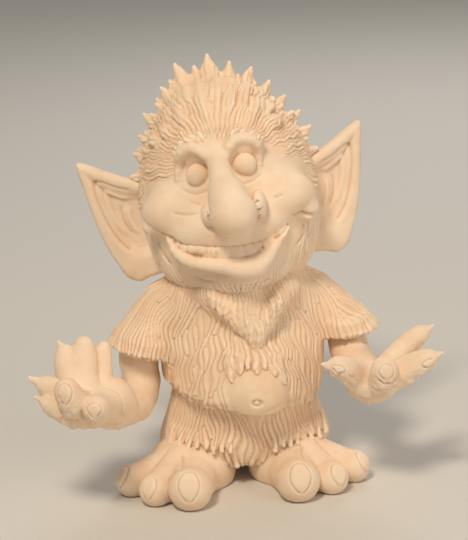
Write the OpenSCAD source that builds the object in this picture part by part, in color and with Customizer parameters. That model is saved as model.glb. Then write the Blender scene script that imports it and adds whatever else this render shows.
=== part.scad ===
// Slip-cast bisque troll figurine with outstretched hands.
// The castings are modelled apart, as they leave their moulds, with the spigots
// and sockets at which they are joined with slip. Millimetres, +Z up, facing -Y.

/* [Casting] */
// Wall thickness of the hollow castings
wall = 5; // [4:0.5:7]
// Gap left between two castings for the joining slip
slip_gap = 0.2; // [0.15:0.05:0.3]

/* [Trunk] */
// Height of the trunk's underside above the floor
trunk_base_z = 12; // [10:1:16]
// Width of the trunk at the fur hem over the feet
hip_w = 100; // [92:1:108]
// Depth of the trunk at the fur hem
hip_d = 76; // [70:1:82]
// Height of the hem above the floor
hip_z = 22; // [20:1:25]
// Width of the trunk at the belly
belly_w = 96; // [90:1:102]
// Depth of the trunk at the belly
belly_d = 96; // [90:1:102]
// Height of the belly's fullest point
belly_z = 63; // [60:1:67]
// Width of the trunk at the chest
chest_w = 104; // [98:1:110]
// Depth of the trunk at the chest
chest_d = 82; // [76:1:88]
// Height of the chest line
chest_z = 100; // [96:1:104]
// Width of the furry collar under the chin
collar_w = 76; // [70:1:82]
// Height of the collar's rim
collar_z = 130; // [127:1:133]
// Diameter of the pour hole in the underside
pour_hole_d = 24; // [18:1:28]
// Diameter of the bare belly below the chest fringe
bare_belly_d = 44; // [38:1:48]

// Height of the vest's hem over the skirt, at its lowest place
vest_hem_z = 52; // [50:1:55]
// Number of main fur ridges round the vest and the skirt
fur_ridges = 14; // [10:1:18]
// Height by which a fur ridge stands out
ridge_h = 1.8; // [1:0.2:2.4]

/* [Sleeves] */
// Distance of each shoulder from the middle
shoulder_x = 46; // [43:1:49]
// Height of the shoulder's centre
shoulder_z = 103; // [100:1:106]
// Radius of the rounded shoulder
shoulder_r = 19; // [17:0.5:20]
// Width of the sleeve at its hem
hem_w = 36; // [32:1:40]
// Depth of the sleeve at its hem
hem_d = 50; // [46:1:54]
// Length of a fur tuft on a hem
tuft_len = 8; // [6:0.5:10]
// Number of tufts round a sleeve
sleeve_tufts = 13; // [10:1:16]

/* [Head] */
// Sideways tilt of the head
head_tilt = 6.5; // [0:0.5:9]
// Turn of the face to its right
face_turn = 7; // [0:0.5:10]
// Width of the face at the cheeks
face_w = 102; // [96:1:108]
// Depth of the skull at the cheeks
face_d = 94; // [88:1:98]
// Height of the bare skull above the neck
skull_h = 106; // [102:1:110]
// Outside diameter of the neck collar that seats in the trunk
neck_d = 42; // [36:1:48]
// Length of the neck collar
neck_len = 12; // [8:1:16]
// Diameter of an eyeball
eye_d = 19; // [17:0.5:21]
// Distance between the eyes' centres
eye_gap = 29; // [26:0.5:32]
// Length of the nose from bridge to tip
nose_len = 26; // [23:0.5:29]
// Diameter of the nose's ball
nose_d = 30; // [27:0.5:33]
// Thickness of the lower lip
lip_d = 12; // [10:0.5:13]

/* [Ears] */
// Reach of an ear beyond the side of the head
ear_reach = 36; // [32:1:40]
// Height of an ear at its root
ear_root_h = 58; // [54:1:61]
// Thickness of the ear's rim
ear_rim_d = 7; // [6:0.5:8]
// Thickness of the ear's web
ear_web = 4; // [3.5:0.5:5]
// Diameter of the peg that keys an ear into the head
ear_peg_d = 8; // [6:0.5:10]

/* [Mane] */
// Height of the mane's peak above the skull's crown
mane_crown = 17; // [14:0.5:20]
// Thickness of the hair at the temples
hair_thick = 4; // [3:0.5:6]
// Length of a hair spike
spike_len = 11; // [8:0.5:13]

/* [Arms] */
// Diameter of an upper arm where it enters the sleeve
arm_d = 22; // [20:0.5:24]
// Diameter of a wrist
wrist_d = 19; // [17:0.5:21]
// Reach of the forearm ahead of the sleeve
forearm_reach = 32; // [28:1:36]
// Depth of the arm's spigot inside the sleeve
arm_spigot = 14; // [10:1:16]
// Diameter of the peg that keys a hand onto its wrist
wrist_peg_d = 8; // [6:0.5:10]

/* [Hands] */
// Width of a palm
palm_w = 34; // [30:1:38]
// Length of a palm
palm_len = 38; // [34:1:42]
// Thickness of a palm
palm_t = 18; // [16:0.5:20]
// Reach of a finger from the middle of the palm
finger_reach = 40; // [36:1:44]
// Diameter of a finger at its root
finger_d = 14; // [12:0.5:16]
// Diameter of a fingertip pad
fingertip_d = 10; // [8:0.5:11]
// Length of a fingernail beyond the pad
nail_len = 5; // [3:0.5:6]

/* [Feet] */
// Diameter of a big toe
big_toe_d = 25; // [22:0.5:27]
// Diameter of a smaller toe
small_toe_d = 19; // [17:0.5:21]
// Distance from the ankle to the end of the big toe
foot_len = 62; // [58:1:66]
// Height of the instep
instep_z = 27; // [25:1:30]
// Diameter of the peg that keys a foot into the trunk
foot_peg_d = 14; // [10:1:18]

/* [Hidden] */
$fn = 20;
loft_sides = 26;
bisque = "#f2dfc0";

// Stance: shifts the figure so that the origin is under the middle of its outline.
stance = [8.6, 16, 0];

// Trunk stations: height, half width, half depth, centre y.
trunk_stations = [
    [trunk_base_z, hip_w * 0.38, hip_d * 0.36, -2],
    [hip_z, hip_w / 2, hip_d / 2, -2],
    [vest_hem_z - 3, belly_w * 0.45, belly_d * 0.418, -5],
    [belly_z, belly_w / 2, belly_d / 2, -9],
    [chest_z - 16, chest_w * 0.485, chest_d * 0.54, -6],
    [chest_z, chest_w / 2, chest_d / 2, -2],
    [(chest_z + collar_z) / 2, chest_w * 0.46, chest_d * 0.47, -2],
    [collar_z, collar_w / 2, collar_w * 0.47, -4]];
belly_front_y = trunk_stations[3][3] - belly_d / 2;
// The vest's lower part, which hangs over the skirt; its hem rises from its lowest place to the sides.
vest_stations = [
    [vest_hem_z - 4, belly_w * 0.47, belly_d * 0.46, -8.5],
    trunk_stations[3],
    trunk_stations[4]];
vest_low_x = 13;
vest_hem_r = 130;
ridge_d = 9;

// Head frame: the neck's seat, with the head's own axes tilted about it.
neck_seat = [2, 0, collar_z - 5];
skull_stations = [
    [-5, face_w * 0.27, face_d * 0.26, -4],
    [skull_h * 0.057, face_w * 0.39, face_d * 0.39, -6],
    [skull_h * 0.19, face_w * 0.46, face_d * 0.47, -5],
    [skull_h * 0.34, face_w / 2, face_d / 2, -3],
    [skull_h * 0.52, face_w / 2, face_d / 2, 0],
    [skull_h * 0.68, face_w * 0.45, face_d * 0.47, 1],
    [skull_h * 0.83, face_w * 0.33, face_d * 0.39, 3],
    [skull_h - 5, face_w * 0.19, face_d * 0.22, 5],
    [skull_h, face_w * 0.05, face_d * 0.05, 6]];
// Mane stations follow the skull, with the hair's thickness over it.
mane_stations = [
    [skull_h * 0.04, face_w * 0.255 + hair_thick, face_d * 0.234 + hair_thick, 14],
    [skull_h * 0.21, face_w * 0.373 + hair_thick, face_d * 0.33 + hair_thick, 16],
    [skull_h * 0.435, face_w * 0.422 + hair_thick, face_d * 0.372 + hair_thick, 13],
    [skull_h * 0.62, face_w * 0.451 + hair_thick, face_d * 0.426 + hair_thick, 7],
    [skull_h * 0.755, face_w * 0.392 + hair_thick, face_d * 0.404 + hair_thick, 4],
    [skull_h * 0.87, face_w * 0.324 + hair_thick, face_d * 0.351 + hair_thick, 3],
    [skull_h - 1, face_w * 0.235 + hair_thick, face_d * 0.266 + hair_thick, 3],
    [skull_h + mane_crown * 0.6, face_w * 0.137 + hair_thick, face_d * 0.16 + hair_thick, 4],
    [skull_h + mane_crown, hair_thick / 2, hair_thick / 2, 6]];
// Spike rows up the mane: station place, spikes in the row, sweep to each side of the back, rise.
spike_rows = [[0.9, 4, 55, 0], [2, 5, 66, 0.2], [3.35, 6, 76, 0.6], [4.1, 6, 76, 0.8], [5, 5, 76, 1.1],
              [5.8, 4, 76, 1.4], [6.7, 3, 76, 1.9]];
// Hair points round the outline: shares of the face's width and of the skull's height.
outline_tips = [[0.015, 1.226], [-0.167, 1.217], [-0.27, 1.104], [-0.314, 1.028], [-0.353, 0.953],
                [-0.402, 0.868], [-0.461, 0.783], [-0.529, 0.632], [0.122, 1.17], [0.222, 1.094],
                [0.319, 1.009], [0.343, 0.915], [0.392, 0.874], [0.451, 0.821], [0.475, 0.726],
                [0.514, 0.66], [0.549, 0.59]];
tip_middle = [0, face_d * 0.064, skull_h * 0.604];
tip_y = face_d * 0.053;
tip_root_d = skull_h * 0.098;
tip_reach = skull_h * 0.123;
spike_d = skull_h * 0.132;
spike_sink = skull_h * 0.047;
point_d = 2.4;

// Face places in the face's own axes: x across, y out of the face, z above the neck.
function face_size(shares) = [shares[0] * face_w, shares[1] * face_d, shares[2] * skull_h];
eye_z = skull_h * 0.717;
eye_y = 0 - face_d * 0.4;
bridge = [-1, -face_d * 0.47, eye_z];
nose_tip = bridge + nose_len * [0.2, -0.62, -0.86];
nostril_d = nose_d * 0.5;
nostrils = [for (s = [-1, 1]) nose_tip + [s * nose_d * 0.52, nose_d * 0.42, -2]];
// The grin's middle line from the right corner of the mouth, as shares of the face's sizes.
grin_shares = [[-0.363, -0.362, 0.406], [-0.294, -0.489, 0.292], [-0.176, -0.574, 0.236],
               [-0.039, -0.606, 0.208], [0.078, -0.606, 0.16], [0.206, -0.564, 0.189],
               [0.304, -0.479, 0.274], [0.382, -0.362, 0.377]];
grin = [for (g = grin_shares) face_size(g)];
grin_steps = 12;
nose_peg_d = 8;
nose_peg_len = 14;
nose_root = (bridge + nose_tip) / 2 - [0, 2, 0];
cheek_d = 30;
chin_d = 28;
cheeks = [for (s = [-1, 1]) [s * face_w * 0.36, -face_d * 0.33, skull_h * 0.443]];

// Ear outline: share of the reach, share of the root's height.
ear_bottom_z = 8;
ear_outline = [[0.1, 0.98], [0.48, 1.1], [0.93, 1.21], [1, 1.15], [0.93, 0.91], [0.84, 0.61], [0.7, 0.31],
               [0.5, 0.07], [0.27, -0.09], [0.1, -0.06], [0, 0]];
ear_root = [face_w * 0.5, 4, 0];
ear_root_depth = 9;
ear_peg_z = 40;
ear_peg_len = 15;
ear_peg_y = 1;
ear_lean = 16;

// Arms: shoulder to elbow to wrist, then the palm, for the right and left side.
hem_drop = 16;
hem_out = 17;
hem_y = -6;
function hem(side) = [side * (shoulder_x + hem_out), hem_y, shoulder_z - hem_drop];
arm_right_shares = [[0, 0, 0], [0.03, -0.125, -0.75], [-0.125, -0.5, -1.06], [-0.47, -1, -0.97]];
arm_left_shares = [[0, 0, 0], [0.03, -0.25, -0.375], [0.125, -0.625, -0.59], [0.25, -1, -0.66]];
arm_right_points = [for (share = arm_right_shares) hem(-1) + forearm_reach * share];
arm_left_points = [for (share = arm_left_shares) hem(1) + forearm_reach * share];
palm_right = arm_right_points[3] + palm_len * [-0.447, -0.526, 0.316];
palm_left = arm_left_points[3] + palm_len * [-0.105, -0.421, 0];
palm_half = [palm_w, palm_len, palm_t] / 2;

// Fingers: heading from +X, rise above level, share of the reach, root and tip scale.
fingers_right = [[182, 26, 0.925, 1], [194, 8, 0.825, 0.85], [243, 32, 0.875, 1], [281, 8, 0.725, 1],
                 [124, 48, 0.95, 1.1], [86, 53, 1.05, 1.15], [60, 46, 1, 0.85]];
fingers_left = [[208, 30, 0.925, 1], [282, 27, 0.9, 1.1], [341, 21, 1.25, 1], [12, 30, 1.3, 1]];

// Feet: ankle place, and toes as heading off the foot's line, share of the length, diameter.
ankle_x = 27;
ankle_y = -13;
right_foot_out = 36;
left_foot_out = 27;
feet_shift = -4;
toes = [[-26, 1, big_toe_d], [0, 0.93, small_toe_d], [27, 0.9, small_toe_d]];
sole_cut = 60;
foot_drain_d = 6;

function pick(list, i) = list[max(0, min(len(list) - 1, i))];

// Smooth curve through a list of rows, at a place counted in rows.
function curve(list, t) =
    let (i = min(floor(t), len(list) - 2), f = t - i,
         a = pick(list, i - 1), b = list[i], c = list[i + 1], d = pick(list, i + 2))
    0.5 * (2 * b + (c - a) * f + (2 * a - 5 * b + 4 * c - d) * f * f + (3 * b - a - 3 * c + d) * f * f * f);

// Direction of a finger or toe from its heading and rise.
function direction(heading, rise) = [cos(heading) * cos(rise), sin(heading) * cos(rise), sin(rise)];

// Closed form through rings given by stations of height, half width, half depth and centre y.
module loft(stations, grow = 0, steps = 3) {
    count = (len(stations) - 1) * steps;
    ring_points = [for (k = [0 : count]) let (s = curve(stations, k / steps))
        for (j = [0 : loft_sides - 1]) let (angle = 360 * j / loft_sides)
            [max(s[1] + grow, 0.3) * cos(angle), s[3] + max(s[2] + grow, 0.3) * sin(angle),
             s[0] + grow * (2 * k / count - 1)]];
    bottom = len(ring_points);
    low = stations[0];
    high = stations[len(stations) - 1];
    points = concat(ring_points, [[0, low[3], low[0] - grow], [0, high[3], high[0] + grow]]);
    sides = [for (k = [0 : count - 1]) for (j = [0 : loft_sides - 1])
        let (a = k * loft_sides + j, b = k * loft_sides + (j + 1) % loft_sides)
        each [[a, a + loft_sides, b + loft_sides], [a, b + loft_sides, b]]];
    caps = [for (j = [0 : loft_sides - 1]) let (next = (j + 1) % loft_sides, top = count * loft_sides)
        each [[bottom, j, next], [bottom + 1, top + next, top + j]]];
    polyhedron(points, concat(sides, caps));
}

// Rounded limb between two balls.
module limb(from, to, from_d, to_d, sides = 12) {
    hull() {
        translate(from) sphere(d = from_d, $fn = sides);
        translate(to) sphere(d = to_d, $fn = sides);
    }
}

module placed() { translate(stance) children(); }
module on_neck() { translate(neck_seat) rotate([0, -head_tilt, 0]) children(); }
module on_face() { rotate([0, 0, -face_turn]) children(); }

// Lower part of the vest, with its rising hem.
module vest() {
    intersection() {
        loft(vest_stations);
        translate([vest_low_x, 0, vest_hem_z + vest_hem_r]) rotate([90, 0, 0])
            cylinder(r = vest_hem_r, h = 3 * belly_d, center = true, $fn = 60);
    }
}

// Point of a fur ridge: sunk into the trunk at an angle, so that the ridge stands out.
function ridge_at(t, angle) = let (s = curve(trunk_stations, t), sink = ridge_d / 2 - ridge_h)
    [(s[1] - sink) * cos(angle), s[3] + (s[2] - sink) * sin(angle), s[0]];

// Main locks of the combed fur, clear of the bare belly and the beard.
module fur_locks() {
    for (k = [0 : fur_ridges - 1]) {
        angle = 360 * (k + 0.5) / fur_ridges;
        bare = abs(angle - 270) < 35;
        if (!bare) limb(ridge_at(3.1, angle), ridge_at(4.4, angle), ridge_d, ridge_d * 0.8, 6);
        limb(ridge_at(0.95, angle + 9), ridge_at(1.7, angle + 9), ridge_d, ridge_d * 0.8, 6);
    }
}

// Trunk without its sockets.
module trunk_form() {
    loft(trunk_stations);
    vest();
    fur_locks();
}

// One bell-shaped fur sleeve with a ring of tufts on its hem.
module sleeve(side) {
    hull() {
        translate([side * shoulder_x, 0, shoulder_z]) sphere(r = shoulder_r);
        translate(hem(side)) rotate([0, side * 8, 0]) scale([hem_w / 2, hem_d / 2, 1]) cylinder(r = 1, h = 2);
    }
    for (k = [0 : sleeve_tufts - 1]) {
        angle = 360 * k / sleeve_tufts;
        rim = [cos(angle) * (hem_w / 2 - 3), sin(angle) * (hem_d / 2 - 3), 0];
        translate(hem(side)) rotate([0, side * 8, 0])
            limb(rim + [0, 0, 3], rim * 1.12 - [0, 0, tuft_len * (0.75 + 0.25 * sin(angle * 5))], 9, 2.4, 5);
    }
}

// Pointed fur beard that hangs from the collar over the chest.
module beard() {
    for (k = [-3 : 3]) {
        root = [3 + k * 7, -chest_d * 0.4, collar_z - 8];
        tip = [7 + k * 4, -chest_d * 0.53, chest_z + 3 + abs(k) * 4];
        limb(root, tip, 12, 3, 6);
    }
}

// Bare round belly that swells out of the fur.
module bare_belly() {
    translate([3, belly_front_y + bare_belly_d * 0.36, belly_z]) sphere(d = bare_belly_d);
}

// Fur fringe over the top of the bare belly.
module belly_fringe() {
    for (k = [-4 : 4]) {
        x = k * bare_belly_d / 9 + 2;
        top_z = belly_z + bare_belly_d / 2 - abs(k) * 1.5;
        tip = [x, belly_front_y + abs(k) * 0.7, top_z - tuft_len * 1.2];
        limb([x, belly_front_y + 6, top_z], tip, 9, 3, 6);
    }
}

// Place of a foot: its ankle under the trunk, turned out from straight ahead.
module at_foot(side, out) {
    translate([side * ankle_x + feet_shift, ankle_y, 0]) rotate([0, 0, side * out]) children();
}

// Flat sole and rounded instep, with three toes; drawn pointing along -Y.
module foot_body(side, grow = 0) {
    foot_sides = grow < 0 ? 10 : 14;
    heel = [0, 10, instep_z * 0.4];
    arch = [0, -foot_len * 0.3, instep_z * 0.3];
    intersection() {
        union() {
            limb(heel, arch, instep_z * 1.3 + grow * 2, instep_z * 1.4 + grow * 2, foot_sides);
            for (toe = toes) {
                tip = (foot_len * toe[1] - toe[2] / 2) * direction(-90 + side * toe[0], 0);
                limb(arch + [tip[0] * 0.4, 0, 0], tip + [0, 0, toe[2] * 0.45], instep_z * 1.1 + grow * 2,
                     toe[2] + grow * 2, foot_sides);
            }
        }
        translate([0, 0, -grow]) cylinder(r = 2 * foot_len, h = sole_cut);
    }
}

// Peg that keys a foot into the underside of the trunk.
module foot_peg(grow = 0) {
    translate([0, 4, instep_z * 0.8]) cylinder(d = foot_peg_d + grow * 2, h = instep_z * 0.2 + 8 + grow);
}

// Foot casting: hollow, drained through its peg.
module foot(side, out) {
    color(bisque) placed() at_foot(side, out) difference() {
        union() {
            foot_body(side);
            foot_peg();
        }
        foot_body(side, -wall);
        translate([0, 4, instep_z * 0.5]) cylinder(d = foot_drain_d, h = instep_z);
    }
}

// Upper arm and forearm as one limb, from inside the sleeve to the wrist.
module arm_form(points, grow = 0) {
    count = 6;
    inward = points[0][0] < 0 ? 1 : -1;
    spigot = points[0] + arm_spigot * [inward * 0.6, 0.1, 0.79];
    path = concat([spigot], points);
    for (k = [0 : count - 1]) {
        t0 = k * (len(path) - 1) / count;
        t1 = (k + 1) * (len(path) - 1) / count;
        limb(curve(path, t0), curve(path, t1), arm_d + (wrist_d - arm_d) * k / count + grow * 2,
             arm_d + (wrist_d - arm_d) * (k + 1) / count + grow * 2);
    }
}

module wrist_peg(points, palm, grow = 0) {
    peg_d = wrist_peg_d + grow * 2;
    limb(points[3], points[3] + 0.75 * (palm - points[3]), peg_d, peg_d, 12);
}

module arm(points, palm) {
    color(bisque) placed() {
        arm_form(points);
        wrist_peg(points, palm);
    }
}

// Cupped palm with a ring of pointed fingers.
module hand(points, palm, fingers) {
    color(bisque) placed() difference() {
        union() {
            translate(palm) scale(palm_half) sphere(r = 1);
            limb(points[3], palm - [0, 0, palm_half[2] * 0.3], wrist_d + 2, palm_half[2] * 2.2);
            for (f = fingers) {
                aim = direction(f[0], f[1]);
                flat = direction(f[0], f[1] * 0.5);
                reach = finger_reach * f[2];
                pad_d = fingertip_d * f[3];
                knuckle = palm + flat * reach * 0.5;
                tip = palm + aim * (reach - pad_d / 2);
                limb(palm + flat * reach * 0.2, knuckle, finger_d, finger_d * f[3], 10);
                limb(knuckle, tip, finger_d * f[3], pad_d, 10);
                nail_tip = tip + aim * (pad_d / 2 + nail_len) - [0, 0, pad_d * 0.1];
                limb(tip - [0, 0, pad_d * 0.15], nail_tip, pad_d * 0.7, pad_d * 0.2, 8);
            }
        }
        arm_form(points, slip_gap);
        wrist_peg(points, palm, slip_gap);
    }
}

// Skull with cheeks, eyes, chin and grin, but without nose, hair and sockets.
module face_form(grow = 0) {
    loft(skull_stations, grow);
    on_face() {
        for (c = cheeks) translate(c) sphere(d = cheek_d + grow * 2, $fn = 16);
        for (s = [-1, 1]) translate([s * eye_gap / 2, eye_y, eye_z]) sphere(d = eye_d + grow * 2, $fn = 16);
        for (k = [0 : grin_steps - 1]) {
            a = curve(grin, k * (len(grin) - 1) / grin_steps);
            b = curve(grin, (k + 1) * (len(grin) - 1) / grin_steps);
            fall = lip_d * 0.5 * [0, -0.3, -1];
            limb(a + fall, b + fall, lip_d + grow * 2, lip_d + grow * 2, 8);
        }
        limb(face_size([0.04, -0.36, 0.094]), face_size([0.04, -0.4, 0.208]),
             chin_d + grow * 2, chin_d + grow * 2);
    }
}

// Drooping nose with two nostril wings.
module nose_form(grow = 0) {
    on_face() {
        limb(bridge, nose_tip, nose_d * 0.42 + grow * 2, nose_d + grow * 2, 20);
        for (n = nostrils) limb(n, n + [0, 7, 3], nostril_d + grow * 2, nostril_d * 0.8 + grow * 2);
    }
}

// Peg that keys the nose into the wall of the face.
module nose_peg(grow = 0) {
    on_face() translate(nose_root) rotate([-90, 0, 0])
        cylinder(d = nose_peg_d + grow * 2, h = nose_peg_len + grow);
}

module nose() {
    color(bisque) placed() on_neck() {
        difference() {
            nose_form();
            loft(skull_stations, slip_gap);
        }
        nose_peg();
    }
}

// Place of an ear's root on the side of the head.
module at_ear(side) {
    mirror([side < 0 ? 1 : 0, 0, 0]) translate(ear_root) rotate([0, 0, ear_lean]) children();
}

// Leaf-shaped ear: a raised rim round a thin web.
module ear_form(side, grow = 0) {
    rim = [for (p = ear_outline) [p[0] * ear_reach, 0, ear_bottom_z + p[1] * ear_root_h]];
    steps = 13;
    edge = [for (k = [0 : steps]) let (p = curve(rim, k * (len(rim) - 1) / steps)) [p[0], p[2]]];
    at_ear(side) {
        for (k = [0 : steps - 1]) {
            a = curve(rim, k * (len(rim) - 1) / steps);
            b = curve(rim, (k + 1) * (len(rim) - 1) / steps);
            limb(a, b, ear_rim_d + grow * 2, ear_rim_d + grow * 2, 8);
        }
        rotate([90, 0, 0]) translate([0, 0, -ear_web * 0.8 - grow]) linear_extrude(ear_web + grow * 2)
            polygon(concat([[-ear_root_depth, ear_bottom_z + ear_root_h * 0.07],
                            [-ear_root_depth, ear_bottom_z + ear_root_h * 0.93]], edge));
    }
}

// Peg that keys an ear into the wall of the head.
module ear_peg(side, grow = 0) {
    at_ear(side) translate([-ear_peg_len / 2 - grow, ear_peg_y, ear_peg_z]) rotate([0, 90, 0])
        cylinder(d = ear_peg_d + grow * 2, h = ear_peg_len);
}

module ear(side) {
    color(bisque) placed() on_neck() {
        difference() {
            ear_form(side);
            face_form(slip_gap);
        }
        ear_peg(side);
    }
}

// Head casting: hollow skull with an open neck collar.
module head() {
    color(bisque) placed() on_neck() difference() {
        union() {
            face_form();
            translate([0, 0, -neck_len]) cylinder(d = neck_d, h = neck_len + wall);
        }
        loft(skull_stations, -wall, 2);
        translate([0, 0, -neck_len - 1]) cylinder(d = neck_d - 2 * wall, h = neck_len + 3 * wall);
        nose_form(slip_gap);
        nose_peg(slip_gap);
        for (s = [-1, 1]) ear_peg(s, slip_gap);
    }
}

// Spiky hair: a cap over the skull with rows of swept-up spikes.
module mane_form(grow = 0) {
    loft(mane_stations, grow, 2);
    for (row = spike_rows) for (k = [0 : row[1] - 1]) {
        s = curve(mane_stations, row[0]);
        angle = 90 + row[2] * (2 * k / (row[1] - 1) - 1);
        out = [cos(angle), sin(angle), row[3]] / norm([1, row[3]]);
        root = [s[1] * cos(angle), s[3] + s[2] * sin(angle), s[0]];
        reach = spike_len * (0.8 + 0.2 * sin(k * 115));
        limb(root - out * spike_sink, root + out * reach, spike_d + grow * 2, point_d, 6);
    }
    for (share = outline_tips) {
        rise = max(0, min(1, (share[1] - 0.57) / 0.62));
        tip = [share[0] * face_w, tip_y * (1 + 0.6 * rise), share[1] * skull_h];
        out = (tip - tip_middle) / norm(tip - tip_middle);
        root = tip - out * tip_reach * (1 + 0.46 * rise);
        limb(root, tip, tip_root_d * (1 + 0.46 * rise) + grow * 2, point_d, 6);
    }
}

module mane() {
    color(bisque) placed() on_neck() difference() {
        mane_form();
        face_form(slip_gap);
        nose_form(slip_gap);
        for (s = [-1, 1]) ear_form(s, slip_gap);
    }
}

// Trunk casting with its fur sleeves, beard, fringe, sockets and pour hole.
module torso() {
    color(bisque) placed() difference() {
        union() {
            trunk_form();
            for (s = [-1, 1]) sleeve(s);
            beard();
            bare_belly();
            belly_fringe();
        }
        loft(trunk_stations, -wall, 2);
        translate([0, 0, trunk_base_z - 1]) cylinder(d = pour_hole_d, h = wall + 3);
        arm_form(arm_right_points, slip_gap);
        arm_form(arm_left_points, slip_gap);
        for (f = [[-1, right_foot_out], [1, left_foot_out]]) at_foot(f[0], f[1]) {
            foot_body(f[0], slip_gap);
            foot_peg(slip_gap);
        }
        on_neck() {
            face_form(slip_gap);
            loft(mane_stations, slip_gap, 2);
            translate([0, 0, -neck_len - slip_gap])
                cylinder(d = neck_d + 2 * slip_gap, h = neck_len + 2 * wall);
        }
    }
}

torso();
head();
nose();
mane();
ear(-1);  // ear_right
ear(1);  // ear_left
arm(arm_right_points, palm_right);  // arm_right
arm(arm_left_points, palm_left);  // arm_left
hand(arm_right_points, palm_right, fingers_right);  // hand_right
hand(arm_left_points, palm_left, fingers_left);  // hand_left
foot(-1, right_foot_out);  // foot_right
foot(1, left_foot_out);  // foot_left
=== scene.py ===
import math
import bpy
import bmesh
import numpy as np
from mathutils import Matrix, Vector, kdtree, noise
from mathutils.bvhtree import BVHTree


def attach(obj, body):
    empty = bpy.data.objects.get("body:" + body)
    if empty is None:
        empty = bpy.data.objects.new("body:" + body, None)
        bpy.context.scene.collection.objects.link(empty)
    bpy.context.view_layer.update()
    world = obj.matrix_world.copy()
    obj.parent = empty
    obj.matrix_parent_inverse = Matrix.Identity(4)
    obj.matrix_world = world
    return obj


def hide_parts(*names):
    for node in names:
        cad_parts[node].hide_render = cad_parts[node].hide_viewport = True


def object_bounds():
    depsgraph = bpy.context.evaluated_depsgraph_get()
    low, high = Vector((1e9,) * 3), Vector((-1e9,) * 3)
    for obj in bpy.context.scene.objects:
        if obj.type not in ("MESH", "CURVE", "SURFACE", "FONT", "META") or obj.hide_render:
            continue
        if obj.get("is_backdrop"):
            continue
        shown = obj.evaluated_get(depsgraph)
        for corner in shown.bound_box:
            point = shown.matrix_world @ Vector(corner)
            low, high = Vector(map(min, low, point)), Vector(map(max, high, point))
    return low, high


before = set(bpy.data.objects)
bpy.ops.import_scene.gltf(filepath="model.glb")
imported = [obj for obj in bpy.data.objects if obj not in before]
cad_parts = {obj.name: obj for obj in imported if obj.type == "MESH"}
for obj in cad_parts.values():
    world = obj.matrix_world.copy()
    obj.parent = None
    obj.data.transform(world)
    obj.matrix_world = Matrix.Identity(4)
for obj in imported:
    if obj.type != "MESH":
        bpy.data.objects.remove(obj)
cadBox = [list(corner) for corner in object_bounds()]

mm = 0.001
# from the figure's own millimetres to the frame; the face has x across it, -y out of it, z up from the neck
figure = Matrix.Scale(mm, 4) @ Matrix.Translation((8.6, 16.0, 0.0))
neck = figure @ Matrix.Translation((2.0, 0.0, 125.0)) @ Matrix.Rotation(math.radians(-6.5), 4, "Y")
face = neck @ Matrix.Rotation(math.radians(-7.0), 4, "Z")


# colours and shader nodes

def toLinear(hexColour):
    parts = [int(hexColour[i:i + 2], 16) / 255 for i in (1, 3, 5)]
    return [c / 12.92 if c <= 0.04045 else ((c + 0.055) / 1.055) ** 2.4 for c in parts] + [1.0]


def addNode(tree, kind, settings=None, inputs=None, links=None):
    node = tree.nodes.new(kind)
    for key, value in (settings or {}).items():
        setattr(node, key, value)
    for key, value in (inputs or {}).items():
        node.inputs[key].default_value = value
    for key, socket in (links or {}).items():
        tree.links.new(socket, node.inputs[key])
    return node


# hollow is the colour of the painted shade in the hollows, edge that of the painted highlight on raised edges
bisque = {
    "skin": "#F4DFC6", "skinWarm": "#EFD1B4", "fur": "#F3DABB", "furWarm": "#EDCAAA", "hollow": "#BC8766",
    "edge": "#FCEEDB", "roughness": 0.74, "grain": 0.5, "mottle": 16.0, "pore": 2.4,
}


def addNoise(tree, place, size, detail, roughness):
    return addNode(tree, "ShaderNodeTexNoise", None,
                   {"Scale": 1 / (size * mm), "Detail": detail, "Roughness": roughness}, {"Vector": place})


def addStep(tree, value, start, end, most):
    return addNode(tree, "ShaderNodeMapRange", {"interpolation_type": "SMOOTHSTEP"},
                   {"From Min": start, "From Max": end, "To Min": 0.0, "To Max": most}, {"Value": value})
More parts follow.
